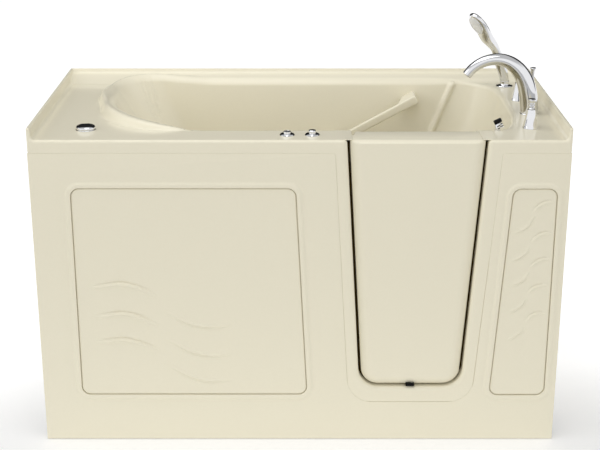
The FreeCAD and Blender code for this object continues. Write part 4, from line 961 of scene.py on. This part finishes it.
tan /= np.linalg.norm(tan, axis=1)[:, None]
rings = []
for (t, z, _, a, d, p, bulge), (dt, dz) in zip(line, tan):
    out = LEAN * dz - UPZ * dt
    ring = []
    for k in range(44):
        c, w = math.cos(2 * math.pi * k / 44), math.sin(2 * math.pi * k / 44)
        ring.append(on_lean(t, z) + out * bulge + ACROSS * a * math.copysign(abs(c) ** (2 / p), c) + out * d * math.copysign(abs(w) ** (2 / p), w))
    rings.append(ring)
b.rings(rings, cap0="fan", cap1="fan", flip=True)


def head_ring(size, depth, n=72):
    """An oval round the spray face: size is its half width."""
    along = [math.sin(2 * math.pi * i / n) * (size + 10.0) for i in range(n)]
    return [HC + HU * (8.0 + v) + ACROSS * math.cos(2 * math.pi * i / n) * size + HN * (depth - 0.10 * v) for i, v in enumerate(along)]


# raised rim round the spray face
b.rings([head_ring(r, d) for r, d in ((24.4, 6.0), (24.4, 11.2), (23.9, 12.4), (23.2, 12.7), (22.6, 12.4), (22.4, 11.6), (22.4, 6.0))], flip=True)
weld(b).done("hand_shower_body", CHROME, "hand_shower", ["hand_shower"], sharp=50)
b = Build()
b.rings([head_ring(r, d) for r, d in ((22.2, 9.0), (22.1, 12.0), (21.4, 12.6), (15, 12.9), (7, 13.1), (1, 13.2))], cap1="fan", flip=True)
for r, k in ((2, 8), (8, 14), (14, 22)):
    for i in range(k):
        a = 2 * math.pi * (i + 0.5 * (r == 8)) / k
        v = math.sin(a) * (r + 9)
        q = HC + HU * (8.0 + v) + ACROSS * math.cos(a) * r + HN * (12.8 - 0.10 * v)
        lathe(b, [(1.5, 0), (1.4, 0.8), (1.0, 1.2), (0.1, 1.25)], tuple(q), axis=tuple(HN), n=10)
weld(b).done("shower_spray_plate", WHITE_RUBBER, "hand_shower", ["shower_spray_face"], sharp=45)
b = Build()
prof = [(0, 640), (8.4, 640), (9, 641), (9, 667), (8, 669)]
z = 670.0
while z < 954:
    prof += [(6.3, z), (7.0, z + 1.3), (7.0, z + 2.9), (6.3, z + 4.2)]
    z += 4.4
prof += [(6.3, 955.6), (6.3, 956.3), (0, 956.3)]
lathe(b, prof, (*DOCK, 0), n=28)
weld(b).done("shower_hose_tail", STEEL, "hand_shower", ["shower_hose"], sharp=35)

# --------------------------------------------------------- waste and overflow
DRAIN = (330, 20)
b = Build()
lathe(b, [(0, 106), (5, 106), (5, 143.4), (25.6, 143.4), (26.8, 144.4), (26.6, 146), (24, 148.6), (17, 150.2), (9, 150.8), (0, 151)], (*DRAIN, 0), rounding=0.8, n=64)
weld(b).done("drain_stopper_dome", CHROME, "stopper", ["drain_stopper"], sharp=45)
tilt = math.atan((643.7 - 560) / (972 - 550))
ON = (-math.cos(tilt), 0.0, math.sin(tilt))
OC = (560 + (730 - 550) * math.tan(tilt), 20.0, 730.0)
b = Build()
lathe(b, [(0, -14), (8, -14), (8, 5.4), (31.4, 5.4), (32.8, 6.6), (32.6, 9), (30, 17.6), (27.4, 19.6), (22, 20), (0, 20)], OC, axis=ON, rounding=0.9, n=72,
      waves=lambda t, h: 0.022 * math.cos(8 * t) if h > 6 else 0.0)
weld(b).done("overflow_knob_cap", CHROME, "overflow_knob", ["overflow_knob"], sharp=45)

# ------------------------------------------ finishes for the nodes kept from CAD
KEPT = {
    "panel_magnet_catches": GEL, "hinge_jamb_leaves": STEEL, "hinge_door_leaves": STEEL, "hinge_pins": STEEL, "latch_base": GEL, "latch_keeper": GEL,
    "mixer_valves": BRASS, "deck_lock_nuts": BRASS, "mixer_pipes": BRASS, "drain_flange": CHROME, "waste_pipe": PVC, "overflow_plate": CHROME, "overflow_pipe": PVC,
    "stopper_cable": BLACK, "frame_base": GALV, "frame_uprights": GALV, "seat_supports": GALV, "footwell_support_blocks": WOOD, "levelling_feet": BLACK,
    "foot_lock_nuts": STEEL, "equipment_tray": GALV, "blower_housing": BLACK, "blower_motor": GREY, "air_check_valve": PVC, "air_manifold": PVC, "air_hose": HOSE,
    "air_intake_hose": HOSE, "air_jets": CHROME, "control_box": GREY, "control_box_lid": GREY, "power_cable_gland": BLACK, "button_air_lines": LINE,
}
for name, mat in KEPT.items():
    o = NODES[name]
    o.data.materials.clear()
    o.data.materials.append(mat)

# -------------------------------------------------------- floor, light, camera
m, nt, bsdf = new_material("floor_white")
co = nt.nodes.new("ShaderNodeTexCoord")
nz = nt.nodes.new("ShaderNodeTexNoise")
nz.inputs["Scale"].default_value = 1.5
rp = nt.nodes.new("ShaderNodeValToRGB")
rp.color_ramp.elements[0].color = (0.86, 0.86, 0.86, 1)
rp.color_ramp.elements[1].color = (0.90, 0.90, 0.90, 1)
nt.links.new(co.outputs["Object"], nz.inputs["Vector"])
nt.links.new(nz.outputs["Fac"], rp.inputs["Fac"])
nt.links.new(rp.outputs["Color"], bsdf.inputs["Base Color"])
bsdf.inputs["Roughness"].default_value = 0.9
bsdf.inputs["Specular IOR Level"].default_value = 0.1
bsdf.inputs["Emission Color"].default_value = (1, 1, 1, 1)
# the floor glows beside and behind the object, and less and less in front of it
fs = nt.nodes.new("ShaderNodeSeparateXYZ")
along = nt.nodes.new("ShaderNodeMapRange")
along.inputs["From Min"].default_value = -3.0
along.inputs["From Max"].default_value = 1.0
glow = nt.nodes.new("ShaderNodeValToRGB")
for k, (y, v) in enumerate(((-1.5, 0.03), (-0.40, 0.22), (0.15, 0.56))):
    e = glow.color_ramp.elements[k] if k < 2 else glow.color_ramp.elements.new(0.9)
    e.position = (y + 3) / 4
    e.color = (v, v, v, 1)
nt.links.new(co.outputs["Object"], fs.inputs[0])
nt.links.new(fs.outputs["Y"], along.inputs["Value"])
nt.links.new(along.outputs[0], glow.inputs["Fac"])
nt.links.new(glow.outputs["Color"], bsdf.inputs["Emission Strength"])
fm = bpy.data.meshes.new("studio_floor")
fm.from_pydata([(-30, -14, 0), (30, -14, 0), (30, 40, 0), (-30, 40, 0)], [], [(0, 1, 2, 3)])
fm.materials.append(m)
floor = bpy.data.objects.new("studio_floor", fm)
scene.collection.objects.link(floor)

w = bpy.data.worlds.new("studio")
scene.world = w
w.use_nodes = True
nt = w.node_tree
nt.nodes.clear()
out = nt.nodes.new("ShaderNodeOutputWorld")
bg = nt.nodes.new("ShaderNodeBackground")
tc = nt.nodes.new("ShaderNodeTexCoord")
# bright all round, but for a dark zone behind the object from the floor to half way up, which the chrome mirrors at its edges
rmp = nt.nodes.new("ShaderNodeValToRGB")
rmp.color_ramp.elements[0].position = 0.0
rmp.color_ramp.elements[0].color = (1, 1, 1, 1)
rmp.color_ramp.elements[1].position = 1.0
rmp.color_ramp.elements[1].color = (0.02, 0.02, 0.021, 1)
behind = nt.nodes.new("ShaderNodeMapRange")
behind.inputs["From Min"].default_value = 0.20
behind.inputs["From Max"].default_value = 0.44
below = nt.nodes.new("ShaderNodeMapRange")
below.inputs["From Min"].default_value = 0.84
below.inputs["From Max"].default_value = 0.68
zone = nt.nodes.new("ShaderNodeMath")
zone.operation = "MULTIPLY"
sep = nt.nodes.new("ShaderNodeSeparateXYZ")
ring_light = nt.nodes.new("ShaderNodeValToRGB")  # brighter low down all round than overhead
ring_light.color_ramp.elements[0].position = 0.48
ring_light.color_ramp.elements[0].color = (1.0, 1.0, 1.0, 1)
ring_light.color_ramp.elements[1].position = 0.68
ring_light.color_ramp.elements[1].color = (0.562, 0.562, 0.562, 1)
both = nt.nodes.new("ShaderNodeMix")
both.data_type = "RGBA"
both.blend_type = "MULTIPLY"
both.inputs["Factor"].default_value = 1.0
nt.links.new(tc.outputs["Generated"], sep.inputs[0])
nt.links.new(sep.outputs["Y"], behind.inputs["Value"])
nt.links.new(sep.outputs["Z"], below.inputs["Value"])
nt.links.new(behind.outputs[0], zone.inputs[0])
nt.links.new(below.outputs[0], zone.inputs[1])
nt.links.new(zone.outputs[0], rmp.inputs["Fac"])
nt.links.new(sep.outputs["Z"], ring_light.inputs["Fac"])
nt.links.new(rmp.outputs["Color"], both.inputs["A"])
nt.links.new(ring_light.outputs["Color"], both.inputs["B"])
nt.links.new(both.outputs["Result"], bg.inputs["Color"])
bg.inputs["Strength"].default_value = 1.05
nt.links.new(bg.outputs[0], out.inputs[0])


def softbox(name, loc, target, size, power, colour=(1, 1, 1)):
    l = bpy.data.lights.new(name, "AREA")
    l.shape = "RECTANGLE"
    l.size, l.size_y = size
    l.energy = power
    l.color = colour
    o = bpy.data.objects.new(name, l)
    o.location = loc
    o.rotation_euler = (Vector(target) - Vector(loc)).to_track_quat("-Z", "Y").to_euler()
    scene.collection.objects.link(o)
    return o


softbox("top_softbox", (-0.5, -0.3, 3.4), (-0.1, 0.0, 0.9), (3.0, 1.6), 28)
softbox("side_softbox", (-3.4, -1.2, 2.6), (0.0, 0.0, 0.8), (2.0, 1.6), 12)

cam = bpy.data.cameras.new("camera")
cam.lens = 77.93
cam.sensor_width = 36.0
cam.clip_start, cam.clip_end = 0.05, 100
cam_o = bpy.data.objects.new("camera", cam)
cam_o.location = (0.0012, -3.8664, 1.9280)
cam_o.rotation_euler = (math.radians(90 - 19.575), 0, 0)
scene.collection.objects.link(cam_o)
scene.camera = cam_o
scene.view_settings.view_transform = "Standard"
scene.view_settings.look = "None"
